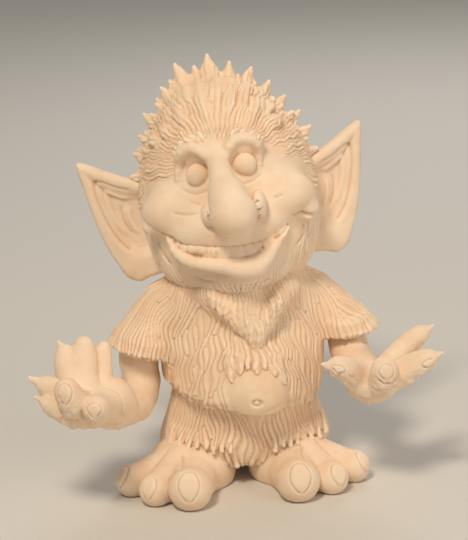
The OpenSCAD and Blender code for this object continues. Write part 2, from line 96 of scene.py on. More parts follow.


# unglazed slip-cast bisque: chalky, with painted shade in its hollows and painted highlight on its edges
def makeBisque(name, colour, warmColour, shadeShare):
    material = bpy.data.materials.new(name)
    material.use_nodes = True
    tree = material.node_tree
    tree.nodes.clear()
    place = addNode(tree, "ShaderNodeTexCoord").outputs["Object"]
    hollow = addNode(tree, "ShaderNodeAttribute", {"attribute_name": "hollow"}).outputs["Fac"]
    mottle = addNoise(tree, place, bisque["mottle"], 4.0, 0.6)
    tone = addNode(tree, "ShaderNodeValToRGB", None, None, {"Fac": mottle.outputs["Fac"]})
    tone.color_ramp.elements[0].position = 0.32
    tone.color_ramp.elements[0].color = toLinear(warmColour)
    tone.color_ramp.elements[1].position = 0.66
    tone.color_ramp.elements[1].color = toLinear(colour)
    # painted shade: the hollow colour is mixed in where the surface lies in a hollow
    deep = addStep(tree, hollow, 0.03, 0.8, shadeShare)
    # painted highlight: the pale edge colour is mixed in where the surface is raised
    raised = addStep(tree, hollow, -0.05, -0.8, 0.6)
    # the painted shade in the hollows
    shaded = addNode(tree, "ShaderNodeMix", {"data_type": "RGBA"}, {7: toLinear(bisque["hollow"])},
                     {0: deep.outputs["Result"], 6: tone.outputs["Color"]})
    # the painted highlight on raised edges, laid over the painted shade
    edgeHighlight = addNode(tree, "ShaderNodeMix", {"data_type": "RGBA"}, {7: toLinear(bisque["edge"])},
                   {0: raised.outputs["Result"], 6: shaded.outputs[2]})
    grain = addNoise(tree, place, bisque["grain"], 3.0, 0.7)
    pores = addNoise(tree, place, bisque["pore"], 2.0, 0.5)
    height = addNode(tree, "ShaderNodeMath", {"operation": "MULTIPLY_ADD"}, {1: 0.6},
                     {0: grain.outputs["Fac"], 2: pores.outputs["Fac"]})
    bump = addNode(tree, "ShaderNodeBump", None, {"Strength": 0.16, "Distance": 0.4 * mm},
                   {"Height": height.outputs["Value"]})
    rough = addNode(tree, "ShaderNodeMapRange", None, {"To Min": bisque["roughness"] - 0.08,
                    "To Max": bisque["roughness"] + 0.12}, {"Value": pores.outputs["Fac"]})
    shader = addNode(tree, "ShaderNodeBsdfPrincipled", None, {"IOR": 1.5, "Specular IOR Level": 0.3},
                     {"Base Color": edgeHighlight.outputs[2], "Roughness": rough.outputs["Result"],
                      "Normal": bump.outputs["Normal"]})
    addNode(tree, "ShaderNodeOutputMaterial", None, None, {"Surface": shader.outputs["BSDF"]})
    return material


# each finish: a material and its slot
skinFinish = (makeBisque("unglazed bisque skin", bisque["skin"], bisque["skinWarm"], 0.6), "bisque_skin")
furFinish = (makeBisque("unglazed bisque fur", bisque["fur"], bisque["furWarm"], 0.45), "bisque_fur")


# clay modelling: a form is a list of clay lumps in millimetres, pressed together with a soft blend

spare = 4  # a lump is measured only this far beyond its blend


def ball(place, radii, blend=4.0, dig=False):
    radii = np.broadcast_to(np.array(radii, float), 3)
    return {"kind": "ball", "r": radii, "blend": blend, "dig": dig, "mid": np.array(place, float),
            "span": radii.max() + blend + spare}


def limb(start, end, r0, r1, blend=4.0, dig=False, squash=1.0):
    a, b = np.array(start, float), np.array(end, float)
    reach = np.sqrt(((b - a) ** 2).sum()) / 2 + max(r0, r1) / min(squash, 1) + blend + spare
    return {"kind": "limb", "a": a, "b": b, "r0": r0, "r1": r1, "blend": blend, "dig": dig, "squash": squash,
            "mid": (a + b) / 2, "span": reach}


def chain(points, radii, blend=4.0, dig=False):
    radii = np.interp(np.linspace(0, 1, len(points)), np.linspace(0, 1, np.size(radii)), np.atleast_1d(radii))
    links = zip(points, points[1:], radii, radii[1:])
    return [limb(a, b, r0, r1, blend, dig) for a, b, r0, r1 in links]


def loft(stations, blend=6.0, grow=0.0):
    rows = spline(stations, len(stations) * 6)
    rows[:, 1:3] += grow
    return {"kind": "loft", "rows": rows, "blend": blend, "dig": False}


def carve(rule, blend=1.0):  # takes away the clay where the rule is below zero
    return {"kind": "carve", "rule": rule, "blend": blend, "dig": True}


def leaf(outline, thick, blend):
    return {"kind": "leaf", "rim": np.array(outline, float), "thick": thick, "blend": blend, "dig": False}


def spline(points, count):
    rows = np.array(points, float)
    out = []
    for t in np.linspace(0, len(rows) - 1, count):
        i = min(int(t), len(rows) - 2)
        f = t - i
        a, b, c, d = rows[max(i - 1, 0)], rows[i], rows[i + 1], rows[min(i + 2, len(rows) - 1)]
        out.append(0.5 * (2 * b + (c - a) * f + (2 * a - 5 * b + 4 * c - d) * f ** 2
                          + (3 * b - a - 3 * c + d) * f ** 3))
    return np.array(out)


def outlineDistance(rim, p):
    x, z = p[:, 0], p[:, 2]
    best = np.full(len(x), 1e18)
    inside = np.zeros(len(x), bool)
    for i in range(len(rim)):
        a, b = rim[i], rim[(i + 1) % len(rim)]
        e = b - a
        w0, w1 = x - a[0], z - a[1]
        t = np.clip((w0 * e[0] + w1 * e[1]) / (e @ e + 1e-9), 0, 1)
        best = np.minimum(best, (w0 - e[0] * t) ** 2 + (w1 - e[1] * t) ** 2)
        crosses = (a[1] > z) != (b[1] > z)
        inside ^= crosses & (x < a[0] + (z - a[1]) / (e[1] if abs(e[1]) > 1e-9 else 1e-9) * e[0])
    return np.sqrt(best) * np.where(inside, -1, 1)


def lengths(rows):
    return np.sqrt((rows * rows).sum(1))


def lumpDistance(lump, p):
    kind = lump["kind"]
    if kind == "ball":
        q = (p - lump["mid"]) / lump["r"]
        k0 = lengths(q) + 1e-9
        k1 = lengths(q / lump["r"]) + 1e-9
        return k0 * (k0 - 1.0) / k1
    if kind == "limb":
        s = np.array([1.0, lump["squash"], 1.0])
        axis = (lump["b"] - lump["a"]) * s
        q = (p - lump["a"]) * s
        t = np.clip(q @ axis / (axis @ axis + 1e-9), 0.0, 1.0)
        off = q - t[:, None] * axis
        return lengths(off) - (lump["r0"] + (lump["r1"] - lump["r0"]) * t)
    if kind == "loft":
        rows = lump["rows"]
        z = p[:, 2]
        wide, deep, mid = (np.interp(z, rows[:, 0], rows[:, c]) for c in (1, 2, 3))
        x, y = p[:, 0], p[:, 1] - mid
        e = np.sqrt((x / wide) ** 2 + (y / deep) ** 2) + 1e-6
        flat = np.where(e < 0.2, -0.8 * np.minimum(wide, deep), np.sqrt(x * x + y * y) * (1 - 1 / e))
        ends = np.maximum(rows[0, 0] - z, z - rows[-1, 0])
        return np.where((ends > 0) & (flat > 0), np.hypot(flat, ends), np.maximum(flat, ends))
    if kind == "carve":
        return lump["rule"](p)
    edge = outlineDistance(lump["rim"], p)  # a leaf: an outline in x and z with a soft edge
    soft = lump["thick"] * 0.42
    q1, q2 = edge + soft, np.abs(p[:, 1]) - (lump["thick"] / 2 - soft)
    return np.minimum(np.maximum(q1, q2), 0) + np.hypot(np.maximum(q1, 0), np.maximum(q2, 0)) - soft


def clayDistance(lumps, p):
    d = np.full(len(p), 80.0)
    square = (p * p).sum(1)
    for lump in lumps:
        rows = slice(None)
        if "mid" in lump:
            m = lump["mid"]
            rows = np.flatnonzero(square - 2 * (p @ m) + m @ m < lump["span"] ** 2)
            if not len(rows):
                continue
        e, was, k = lumpDistance(lump, p[rows]), d[rows], lump["blend"]
        if lump["dig"]:
            h = np.clip(0.5 - 0.5 * (was + e) / k, 0, 1)
            d[rows] = was * (1 - h) - e * h + k * h * (1 - h)
        else:
            h = np.clip(0.5 + 0.5 * (was - e) / k, 0, 1)
            d[rows] = was * (1 - h) + e * h - k * h * (1 - h)
    return d


def claySlope(lumps, p, step=0.05):
    base = clayDistance(lumps, p)
    grad = np.stack([clayDistance(lumps, p + step * axis) - base for axis in np.eye(3)], 1) / step
    size = lengths(grad)
    return base, grad / np.maximum(size, 1e-6)[:, None], np.clip(size, 0.3, 2.0)


def pressOnto(lumps, p, rounds=4, reach=3.0):
    for _ in range(rounds):
        d, n, size = claySlope(lumps, p)
        p = p - np.clip(d / size, -reach, reach)[:, None] * n
    return p


def readPoints(mesh):
    out = np.empty(len(mesh.vertices) * 3)
    mesh.vertices.foreach_get("co", out)
    return out.reshape(-1, 3)


def writePoints(mesh, points):
    mesh.vertices.foreach_set("co", np.ascontiguousarray(points).ravel())
    mesh.update()


def readNormals(mesh):
    out = np.empty(len(mesh.vertices) * 3, np.float32)
    mesh.vertex_normals.foreach_get("vector", out)
    return out.reshape(-1, 3).astype(float)


def addObject(name, data):
    made = bpy.data.objects.new(name, data)
    bpy.context.scene.collection.objects.link(made)
    return made


def meshOf(bm, name):
    mesh = bpy.data.meshes.new(name)
    bm.to_mesh(mesh)
    bm.free()
    return mesh


# an object's mesh with its modifiers applied; the object itself goes
def takeResult(holder):
    bpy.context.view_layer.update()
    made = bpy.data.meshes.new_from_object(holder.evaluated_get(bpy.context.evaluated_depsgraph_get()))
    bpy.data.objects.remove(holder)
    return made


def addCone(bm, start, end, r0, r1, segments, flat=Matrix()):
    run = end - start
    turn = run.to_track_quat("Z", "Y").to_matrix().to_4x4()
    bmesh.ops.create_cone(bm, cap_ends=True, segments=segments, radius1=r0, radius2=r1, depth=run.length,
                          matrix=flat @ Matrix.Translation((start + end) / 2) @ turn)


# an added lump as a plain shape, as a modeller roughs out a figure
def roughLump(bm, lump):
    kind = lump["kind"]
    if kind == "ball":
        place = Matrix.Translation(lump["mid"]) @ Matrix.Diagonal((*lump["r"], 1))
        bmesh.ops.create_icosphere(bm, subdivisions=3, radius=1.0, matrix=place)
    elif kind == "limb":
        flat = Matrix.Diagonal((1, 1 / lump["squash"], 1, 1))
        ends = [flat.inverted() @ Vector(lump[k]) for k in ("a", "b")]
        for end, r in zip(ends, (lump["r0"], lump["r1"])):
            bmesh.ops.create_icosphere(bm, subdivisions=2, radius=r, matrix=flat @ Matrix.Translation(end))
        if (ends[1] - ends[0]).length > 0.3:
            addCone(bm, *ends, lump["r0"], lump["r1"], 16, flat)
    elif kind == "loft":
        rows = lump["rows"]
        for v in bmesh.ops.create_uvsphere(bm, u_segments=40, v_segments=40, radius=1.0)["verts"]:
            level = math.acos(max(-1, min(1, -v.co.z))) / math.pi
            row = rows[round(level * (len(rows) - 1))]
            around = Vector((v.co.x, v.co.y)).normalized()
            v.co = (around.x * row[1], row[3] + around.y * row[2], row[0])
    elif kind == "leaf":
        x, z = lump["rim"].mean(0)
        for a in lump["rim"]:
            addCone(bm, Vector((x, 0, z)), Vector((a[0], 0, a[1])), lump["thick"], lump["thick"] / 2, 8)


def roughOut(lumps):
    lumps = [lump for lump in lumps if not lump["dig"]]
    whole = bmesh.new()
    few = 16  # in small batches, since each operator walks the whole bmesh
    for first in range(0, len(lumps), few):
        bm = bmesh.new()
        for lump in lumps[first:first + few]:
            roughLump(bm, lump)
        batch = meshOf(bm, "batch")
        whole.from_mesh(batch)
        bpy.data.meshes.remove(batch)
    return meshOf(whole, "rough")


def solidMesh(source, voxel):
    holder = addObject("holder", source)
    remesh = holder.modifiers.new("remesh", "REMESH")
    remesh.mode = "VOXEL"
    remesh.voxel_size = voxel
    return takeResult(holder)


def modelClay(lumps, voxel, trim=None):
    first = solidMesh(roughOut(lumps), voxel * 1.3)
    if trim:
        first = trim(first)
    writePoints(first, pressOnto(lumps, readPoints(first), 5))
    second = solidMesh(first, voxel)
    writePoints(second, pressOnto(lumps, readPoints(second), 3))
    return second


# how far each point lies in a hollow (above zero) or on an edge (below zero), for the painted shade in the
# hollows and the painted highlight on the edges
def markHollows(mesh, rounds=10, depth=0.7 * mm):
    p = readPoints(mesh)
    edges = np.empty(len(mesh.edges) * 2, np.int32)
    mesh.edges.foreach_get("vertices", edges)
    a, b = edges[0::2], edges[1::2]
    count = np.bincount(a, minlength=len(p)) + np.bincount(b, minlength=len(p))
    q = p.copy()
    for _ in range(rounds):
        sums = [np.bincount(a, q[b, c], len(p)) + np.bincount(b, q[a, c], len(p)) for c in range(3)]
        total = np.stack(sums, 1)
        q = 0.4 * q + 0.6 * total / np.maximum(count, 1)[:, None]
    value = np.clip(((q - p) * readNormals(mesh)).sum(1) / depth, -1, 1)
    layer = mesh.attributes.new("hollow", "FLOAT", "POINT")
    layer.data.foreach_set("value", value.astype(np.float32))


# creases pressed along lines, each given as points, depth and width; a negative depth raises a fold
def pressCreases(mesh, creases):
    p, n = readPoints(mesh), readNormals(mesh)
    push = np.zeros(len(p))
    for points, depth, width in creases:
        line = spline(points, len(points) * 4)
        near = np.full(len(p), 1e9)
        for i in range(len(line) - 1):
            a, axis = line[i], line[i + 1] - line[i]
            t = np.clip((p - a) @ axis / (axis @ axis + 1e-9), 0, 1)
            near = np.minimum(near, ((p - a - t[:, None] * axis) ** 2).sum(1))
        ends = np.minimum(((p - line[0]) ** 2).sum(1), ((p - line[-1]) ** 2).sum(1))
        fade = np.clip(np.sqrt(ends) / (3 * width), 0.2, 1)
        push -= depth * fade * np.exp(-near / width ** 2)
    writePoints(mesh, p + push[:, None] * n)


def layCreases(clay, creases, count, rounds, reach):
    return [(pressOnto(clay, spline(points, count), rounds, reach), depth, width)
            for points, depth, width in creases]


# loose skin: ridged noise pressed in where the weight allows
def wrinkle(mesh, weight, size, depth):
    p, n = readPoints(mesh), readNormals(mesh)
    share = weight(p, n)
    push = np.zeros(len(p))
    for i in np.flatnonzero(share > 0.02):
        ridge, fine = abs(noise.noise(p[i] / size)), noise.noise(p[i] / (size * 0.4))
        push[i] = share[i] * (ridge * 2 + 0.5 * fine - 0.5)
    writePoints(mesh, p + (push * depth)[:, None] * n)


def thinMesh(mesh, most=190000):
    mesh.calc_loop_triangles()
    count = len(mesh.loop_triangles)
    if count <= most:
        return mesh
    holder = addObject("holder", mesh)
    thin = holder.modifiers.new("thin", "DECIMATE")
    thin.ratio = most / count
    return takeResult(holder)


def finishPiece(name, mesh, place, finish, *nodes):
    material, slotName = finish
    mesh.transform(place)
    if place.determinant() < 0:
        mesh.flip_normals()
    markHollows(mesh)
    mesh = thinMesh(mesh)
    mesh.polygons.foreach_set("use_smooth", np.ones(len(mesh.polygons), bool))
    mesh.materials.clear()
    mesh.materials.append(material)
    piece = addObject(name, mesh)
    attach(piece, "root")
    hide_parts(*nodes)
    print("made", name, len(mesh.polygons), "faces")
    return piece


# fur: strands combed over the clay at an even spacing, then cut in as furrows between them

# gaps and reach are shares of a comb's pitch, fine is in millimetres
furRule = {"seedGap": 0.9, "lineGap": 0.62, "reach": 1.2, "fine": 0.7, "round": 2.6, "level": 0.4}


def marchStrands(surface, seeds, normals, comb, way):
    p, n = seeds.copy(), normals.copy()
    alive = np.ones(len(p), bool)
    tracks, lives = [p.copy()], [alive]
    for _ in range(comb["steps"]):
        aim = comb["aim"](p)
        aim = aim - (aim * n).sum(1)[:, None] * n
        strength = lengths(aim)
        aim = aim / (strength[:, None] + 1e-9)
        turn = comb["along"](p) * 2 * math.pi / comb["waveLength"]
        drift = 2.6 * np.sin(p[:, 0] / 7.0 + 1.0) + 2.2 * np.sin(p[:, 1] / 8.0) + 1.4 * np.sin(p[:, 2] / 13.0)
        aim = aim + np.cross(n, aim) * (comb["wave"] * comb["loose"](p) * np.sin(turn + drift))[:, None]
        ahead = p + way * comb["step"] * aim
        alive = alive & (strength > comb["slack"]) & comb["keep"](ahead)
        for i in np.flatnonzero(alive):
            p[i], n[i] = surface.find_nearest(ahead[i])[:2]
        tracks.append(p.copy())
        lives.append(alive)
    return np.array(tracks), np.array(lives).sum(0)


def combStrands(mesh, comb):
    rng = np.random.default_rng(comb["seed"])
    points, normals = readPoints(mesh), readNormals(mesh)
    picked = rng.choice(len(points), min(comb["seeds"], len(points)), replace=False)
    picked = picked[comb["keep"](points[picked])]
    seeds = points[picked]
    surface = BVHTree.FromPolygons(points.tolist(), [f.vertices[:] for f in mesh.polygons])
    ahead, aheadCount = marchStrands(surface, seeds, normals[picked], comb, 1)
    behind, behindCount = marchStrands(surface, seeds, normals[picked], comb, -1)
    cells = {}
    gap = comb["pitch"]
    hops = [(i, j, k) for i in (-1, 0, 1) for j in (-1, 0, 1) for k in (-1, 0, 1)]

    def crowded(q, limit):
        x, y, z = (int(math.floor(v / gap)) for v in q)
        for i, j, k in hops:
            for o in cells.get((x + i, y + j, z + k), ()):
                if (o[0] - q[0]) ** 2 + (o[1] - q[1]) ** 2 + (o[2] - q[2]) ** 2 < limit * limit:
                    return True
        return False

    strands = []
    for i in rng.permutation(len(seeds)):
        if crowded(seeds[i], gap * furRule["seedGap"]):
            continue
        whole = comb["length"] / comb["step"] * rng.uniform(0.65, 1.0)
        front = whole * rng.uniform(0.3, 0.7)
        line = [seeds[i]]
        ways = ((ahead, aheadCount[i], front, line.append),
                (behind, behindCount[i], whole - front, lambda q: line.insert(0, q)))
        for tracks, count, most, put in ways:
            for k in range(1, min(count, int(most))):
                if crowded(tracks[k, i], gap * furRule["lineGap"]):
                    break
                put(tracks[k, i])
        if len(line) * comb["step"] < comb["shortest"]:
            continue
        for q in line:
            cells.setdefault(tuple(int(math.floor(v / gap)) for v in q), []).append(q)
        strands.append(np.array(line))
    return strands


def cutFurrows(mesh, strands, comb, weight):
    rng = np.random.default_rng(comb["seed"])
    points, owners, heights = [], [], []
    for k, line in enumerate(strands):
        fine = spline(line, max(3, int(len(line) * comb["step"] / furRule["fine"])))
        share = np.linspace(0, 1, len(fine))
        points.append(fine)
        owners += [k] * len(fine)
        heights.append(rng.uniform(0.6, 1.3) * (0.85 + 0.3 * share))
    points, heights = np.concatenate(points), np.concatenate(heights)
    tree = kdtree.KDTree(len(points))
    for i, q in enumerate(points):
        tree.insert(q, i)
    tree.balance()
    p, n = readPoints(mesh), readNormals(mesh)
    share = weight(p)
    rise = np.zeros(len(p))
    reach = comb["pitch"] * furRule["reach"]
    for i in np.flatnonzero(share > 0.01):
        found = tree.find_n(p[i], 7)
        near, owner = found[0][2], owners[found[0][1]]
        other = next((f[2] for f in found if owners[f[1]] != owner), reach)
        x = min(1.0, 2 * near / (near + other))
        rise[i] = heights[found[0][1]] * (1 - x ** furRule["round"])
    writePoints(mesh, p + (share * comb["depth"] * (rise - furRule["level"]))[:, None] * n)


# camera, lamps and floor

shot = {"azimuth": -6.0, "elevation": 16.0, "roll": 2.5, "distance": 1200.0, "lens": 133.33,
        "target": (-2, 0, 124.5)}


def setCamera():
    az, el = math.radians(shot["azimuth"]), math.radians(shot["elevation"])
    back = Vector((math.sin(az) * math.cos(el), -math.cos(az) * math.cos(el), math.sin(el)))
    right = Vector((math.cos(az), math.sin(az), 0))
    up = back.cross(right)
    turn = math.radians(shot["roll"])
    side = right * math.cos(turn) - up * math.sin(turn)
    rise = right * math.sin(turn) + up * math.cos(turn)
    data = bpy.data.cameras.new("camera")
    data.lens = shot["lens"]
    data.sensor_width = 36.0
    data.clip_start = 0.01
    data.clip_end = 60.0
    camera = addObject("camera", data)
    spot = figure @ Vector(shot["target"]) + back * shot["distance"] * mm
    camera.matrix_world = Matrix.Translation(spot) @ Matrix((side, rise, back)).transposed().to_4x4()
    bpy.context.scene.camera = camera


lamps = {
    "key": {"place": (-0.45, -0.95, 1.5), "size": 0.35, "power": 17.5, "colour": "#FFF1DC"},
    "fill": {"place": (1.2, -1.0, 0.6), "size": 1.2, "power": 7.5, "colour": "#FFF4E6"},
    "rim": {"place": (0.5, 1.2, 1.1), "size": 0.8, "power": 6.0, "colour": "#FFFFFF"},
}


def setStudio():
    for name, lamp in lamps.items():
        data = bpy.data.lights.new(name, "AREA")
        data.size = lamp["size"]
        data.energy = lamp["power"]
        data.color = toLinear(lamp["colour"])[:3]
        light = addObject(name, data)
        light.location = lamp["place"]
        aim = Vector((0, 0, 0.12)) - Vector(lamp["place"])
        light.rotation_euler = aim.to_track_quat("-Z", "Y").to_euler()
    world = bpy.data.worlds.new("studio")
    bpy.context.scene.world = world
    world.use_nodes = True
    sky = world.node_tree.nodes["Background"]
    sky.inputs["Color"].default_value = toLinear("#F1EEE8")
    sky.inputs["Strength"].default_value = 0.3
    bm = bmesh.new()
    bmesh.ops.create_grid(bm, x_segments=1, y_segments=1, size=8.0)
    mesh = meshOf(bm, "floor")
    floor = addObject("floor", mesh)
    paper = bpy.data.materials.new("matt paper floor")  # plain and pale, it only takes the shadow
    paper.use_nodes = True
    shader = paper.node_tree.nodes["Principled BSDF"]
    shader.inputs["Base Color"].default_value = toLinear("#D9D5CE")
    shader.inputs["Roughness"].default_value = 0.95
    mesh.materials.append(paper)
    floor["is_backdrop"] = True
    bpy.context.scene.view_settings.view_transform = "Standard"


setCamera()
setStudio()
print("camera and studio set")


# head, with the nose pressed on; every place is in the face's own millimetres

skullRows = [(-5, 34, 26, -4), (6, 44, 38, -6), (20, 49.5, 45, -5), (36, 52, 47, -3), (55, 51, 47, 0),
             (72, 45.9, 44.2, 1), (88, 33.7, 36.7, 3), (101, 19.4, 20.7, 5), (106, 5, 4.7, 6)]

headShape = {
    "voxel": 0.6, "back": 20.0,  # the back of the skull is left off, under the mane
    "pads": [((-2, -40, 39), (33, 17, 14), 9), ((-33, -33, 51), (17, 14, 13), 8),
             ((34, -32, 50), (17, 14, 13), 8), ((2, -37, 9), (25, 14, 12), 8),
             ((0, -34, 84), (24, 12, 9), 8)],
    "eyes": [((-13.9, -41.2, 71.2), (6.6, 4.4, 6.6)), ((13.8, -41.4, 73.4), (6.7, 4.4, 6.7))],
    "socket": (10.4, 8.6, 10.4),
    "hoods": [[(-26.4, -38, 70), (-26.0, -38, 79), (-20.5, -40, 85.4), (-13.5, -42, 87.0), (-7.4, -44, 83.5),
               (-5.0, -46, 76)],
              [(23.6, -40, 72), (24.0, -39, 80), (19.5, -40, 86.6), (13, -42, 89.0), (6.4, -44, 86),
               (3.6, -46, 78)]],
    "hoodWidth": [0.8, 1.9, 2.5, 2.5, 2.1, 0.9],
    "lip": [(-36.4, -42.0, 39.6), (-33.6, -47.6, 30.4), (-26.4, -52.6, 24.8), (-15.8, -55.2, 21.6),
            (-5.4, -56.4, 19.2), (2.8, -57, 16.8), (10.4, -56.4, 16.2), (17.0, -53.6, 19.6),
            (23.6, -49.6, 24.8), (32.6, -43, 33.2)],
    "lipWidth": [0.9, 2.0, 2.9, 3.1, 3.8, 5.4, 5.8, 4.4, 2.8, 1.0],
    "gum": [(-30, -45, 33), (-14, -50.5, 27), (2, -52.5, 24), (16, -49.5, 25.5), (27, -44, 31.5)],
    "mouth": [(-40.6, -37, 47), (-39, -40, 42), (-35, -45, 37.7), (-29, -49, 34.3), (-21, -53, 33.2),
              (-14.7, -55, 31.6), (-8, -56, 30.4), (1, -56.5, 29.0), (9.8, -56, 28.5), (23, -51, 30),
              (30.4, -46, 32), (35.5, -42, 36.7), (39.3, -39, 40.8)],
    "mouthWidth": [0.6, 0.9, 1.4, 2.0, 2.5, 2.8, 2.9, 2.9, 2.8, 2.2, 1.5, 1.0, 0.6],
    "teeth": (-29, 19, 9),  # from, to and how many lines between them
    "knobs": [((-45.0, -33.5, 44), (5.8, 5.8, 5.6), 1.6), ((44.5, -32.5, 41), (7.5, 6.5, 8.5), 3.0)],
}

noseShape = {
    "ridge": [(-2.2, -43.5, 84), (-0.4, -51.5, 74), (2.2, -59.5, 61), (3.8, -63.5, 52)],
    "girth": [3.6, 5.6, 10.2, 14.0],
    "wings": [((-10.6, -53.2, 50.3), (4.2, 8.2, 6.4)), ((18.8, -51.5, 51.8), (4.4, 8.8, 8.2))],
    "slits": [[(-8.2, -61.5, 54.5), (-9.2, -60.2, 51), (-8.8, -59.0, 46.0)],
              [(16.8, -60.5, 58), (18.6, -59.0, 53), (17.0, -58.0, 47)]],
    "slitWidth": [0.6, 1.9, 2.1, 1.2],
}

# lines of the face: points, depth and width; two of them run on from the mouth's corners
faceCreases = [
    ([(-32, -43, 52.4), (-24, -47, 50.4), (-17, -50, 52)], 0.9, 1.0),
    ([(25.3, -46, 52.4), (30, -43, 52), (34, -41, 53)], 0.9, 1.0),
    (headShape["mouth"][:4], 1.3, 0.9),
    (headShape["mouth"][:-5:-1], 1.3, 0.9),
    ([(37, -40, 40), (40.5, -38, 41), (44, -35, 39), (47, -33, 38)], 2.2, 1.4),
    ([(-45.6, -32, 48), (-45, -34, 38), (-40, -38, 36)], 1.5, 1.1),
    ([(-49.5, -30, 34.5), (-46.6, -33, 24), (-40.4, -36, 16.4)], 1.8, 1.2),
    ([(-34.9, -42, 35.7), (-33.3, -44, 27.5), (-30.2, -46, 21.6)], 1.2, 1.0),
    ([(51, -24, 46), (50.7, -26, 36.8), (48.3, -28, 28.5), (43.4, -28, 19.5)], 2.4, 1.4),
    ([(47.8, -31, 43), (48, -31.5, 34), (43, -34, 25)], 1.7, 1.2),
    ([(36, -38, 19), (41, -36, 21.5), (46, -33, 25)], 0.8, 0.9),
    ([(-30, -45, 11), (-20, -47, 9.6), (-12, -48, 9)], 0.8, 0.9),
    ([(0, -48, 6), (10.7, -47, 5), (18, -45, 7)], 0.8, 0.9),
    ([(-8, -48, 3.5), (4, -48, 2), (14, -46, 2.5)], 0.6, 0.9),
    ([(-22, -47, 59), (-14, -50, 57), (-9, -52, 58)], 0.5, 1.0),
    ([(-26, -41, 66), (-17, -46, 61.5), (-8, -49, 64)], 0.6, 1.0),
    ([(25, -42, 68), (16, -46, 63.5), (8, -50, 66)], 0.6, 1.0),
]


# the bare part of the face; the jaw round it is furry
bareFace = [(-56, 62), (-48.5, 48), (-46.6, 37.6), (-44.9, 26), (-40, 19.5), (-32, 14), (-21, 11), (-7, 8),
            (6, 5.5), (18, 9), (26.5, 14.5), (34.7, 19), (43, 25.4), (49, 32), (53, 46), (57, 62), (50, 110),
            (-50, 110)]

jawComb = {"seed": 5, "steps": 24, "step": 1.4, "wave": 0.22, "waveLength": 17.0, "pitch": 2.2,
           "length": 45.0, "shortest": 8.0, "depth": 1.0, "slack": 0.1, "seeds": 6000}


def headLumps():
    s = headShape
    lumps = [loft(skullRows)] + [ball(*pad) for pad in s["pads"]]
    for (x, _, z), _ in s["eyes"]:
        lumps.append(ball((x - 0.9, -51.2, z + 5.0), s["socket"], 4.0, True))
    for hood in s["hoods"]:
        brim = pressOnto(lumps, spline(hood, 11), 6, 6.0)
        brim = brim + claySlope(lumps, brim)[1] * 0.5
        lumps += chain(brim, s["hoodWidth"], 2.6)
    lumps += [ball(place, r, 0.5) for place, r in s["eyes"]]
    lumps += [ball(*knob) for knob in s["knobs"]]
    line = pressOnto(lumps, spline(s["mouth"], 27), 8, 6.0)
    gape = np.interp(np.linspace(0, 1, 27), np.linspace(0, 1, 13), s["mouthWidth"])
    lumps += chain(line - np.c_[0 * gape, 0 * gape, gape], gape, 0.8, True)
    first, last, _ = s["teeth"]
    row = line[(line[:, 0] > first) & (line[:, 0] < last)]
    lumps += chain(row + np.array((0, 1.7, -2.6)), 2.8, 0.6)
    lumps += chain(spline(s["gum"], 9), [2.0, 3.3, 3.6, 3.3, 2.0], 2.0)
    lumps += chain(spline(s["lip"], 21), s["lipWidth"], 2.2)
    n = noseShape
    lumps += chain(n["ridge"], n["girth"], 5.0) + [ball(place, r, 1.4) for place, r in n["wings"]]
    for slit in n["slits"]:
        lumps += chain(spline(slit, 5), n["slitWidth"], 0.8, True)
    back = s["back"]
    lumps.append(carve(lambda p: back - p[:, 1], 1.0))
    return lumps, row


def trimBack(mesh):
    bm = bmesh.new()
    bm.from_mesh(mesh)
    cut = bmesh.ops.bisect_plane(bm, geom=bm.verts[:] + bm.edges[:] + bm.faces[:],
                                 plane_co=(0, headShape["back"], 0), plane_no=(0, 1, 0), clear_outer=True)
    rim = [e for e in cut["geom_cut"] if isinstance(e, bmesh.types.BMEdge)]
    bmesh.ops.edgeloop_fill(bm, edges=rim)
    bm.to_mesh(mesh)
    bm.free()
    return mesh


def makeHead():
    s = headShape
    lumps, row = headLumps()
    mesh = modelClay(lumps, s["voxel"], trimBack)
    creases = layCreases(lumps, faceCreases, 7, 6, 5.0)
    first, last, count = s["teeth"]
    for x in np.linspace(first + 3, last - 2, count):
        y, z = (np.interp(x, row[:, 0], row[:, c]) for c in (1, 2))
        creases.append(([(x, y, z - 0.5), (x, y - 0.6, z - 3), (x, y, z - 5.6)], 1.3, 0.6))
    pressCreases(mesh, creases)
    bare, c = np.array(bareFace, float), dict(jawComb)
    c["aim"] = lambda p: np.c_[-p[:, 0] / 90, 0 * p[:, 1], -1 + 0 * p[:, 2]]
    c["along"] = lambda p: p[:, 2]
    c["loose"] = lambda p: 1.0
    c["keep"] = lambda p: (outlineDistance(bare, p) > -1) & (p[:, 1] < 14) & (p[:, 2] < 50)
    strands = combStrands(mesh, c)
    cutFurrows(mesh, strands, c, lambda p: np.clip(outlineDistance(bare, p) / 4 + 0.3, 0, 1)
               * (p[:, 2] < 52))
    return finishPiece("head", mesh, face, skinFinish, "head", "nose")


makeHead()


# ears: a thick leaf with a smooth bowl in its front, x away from the head and z up

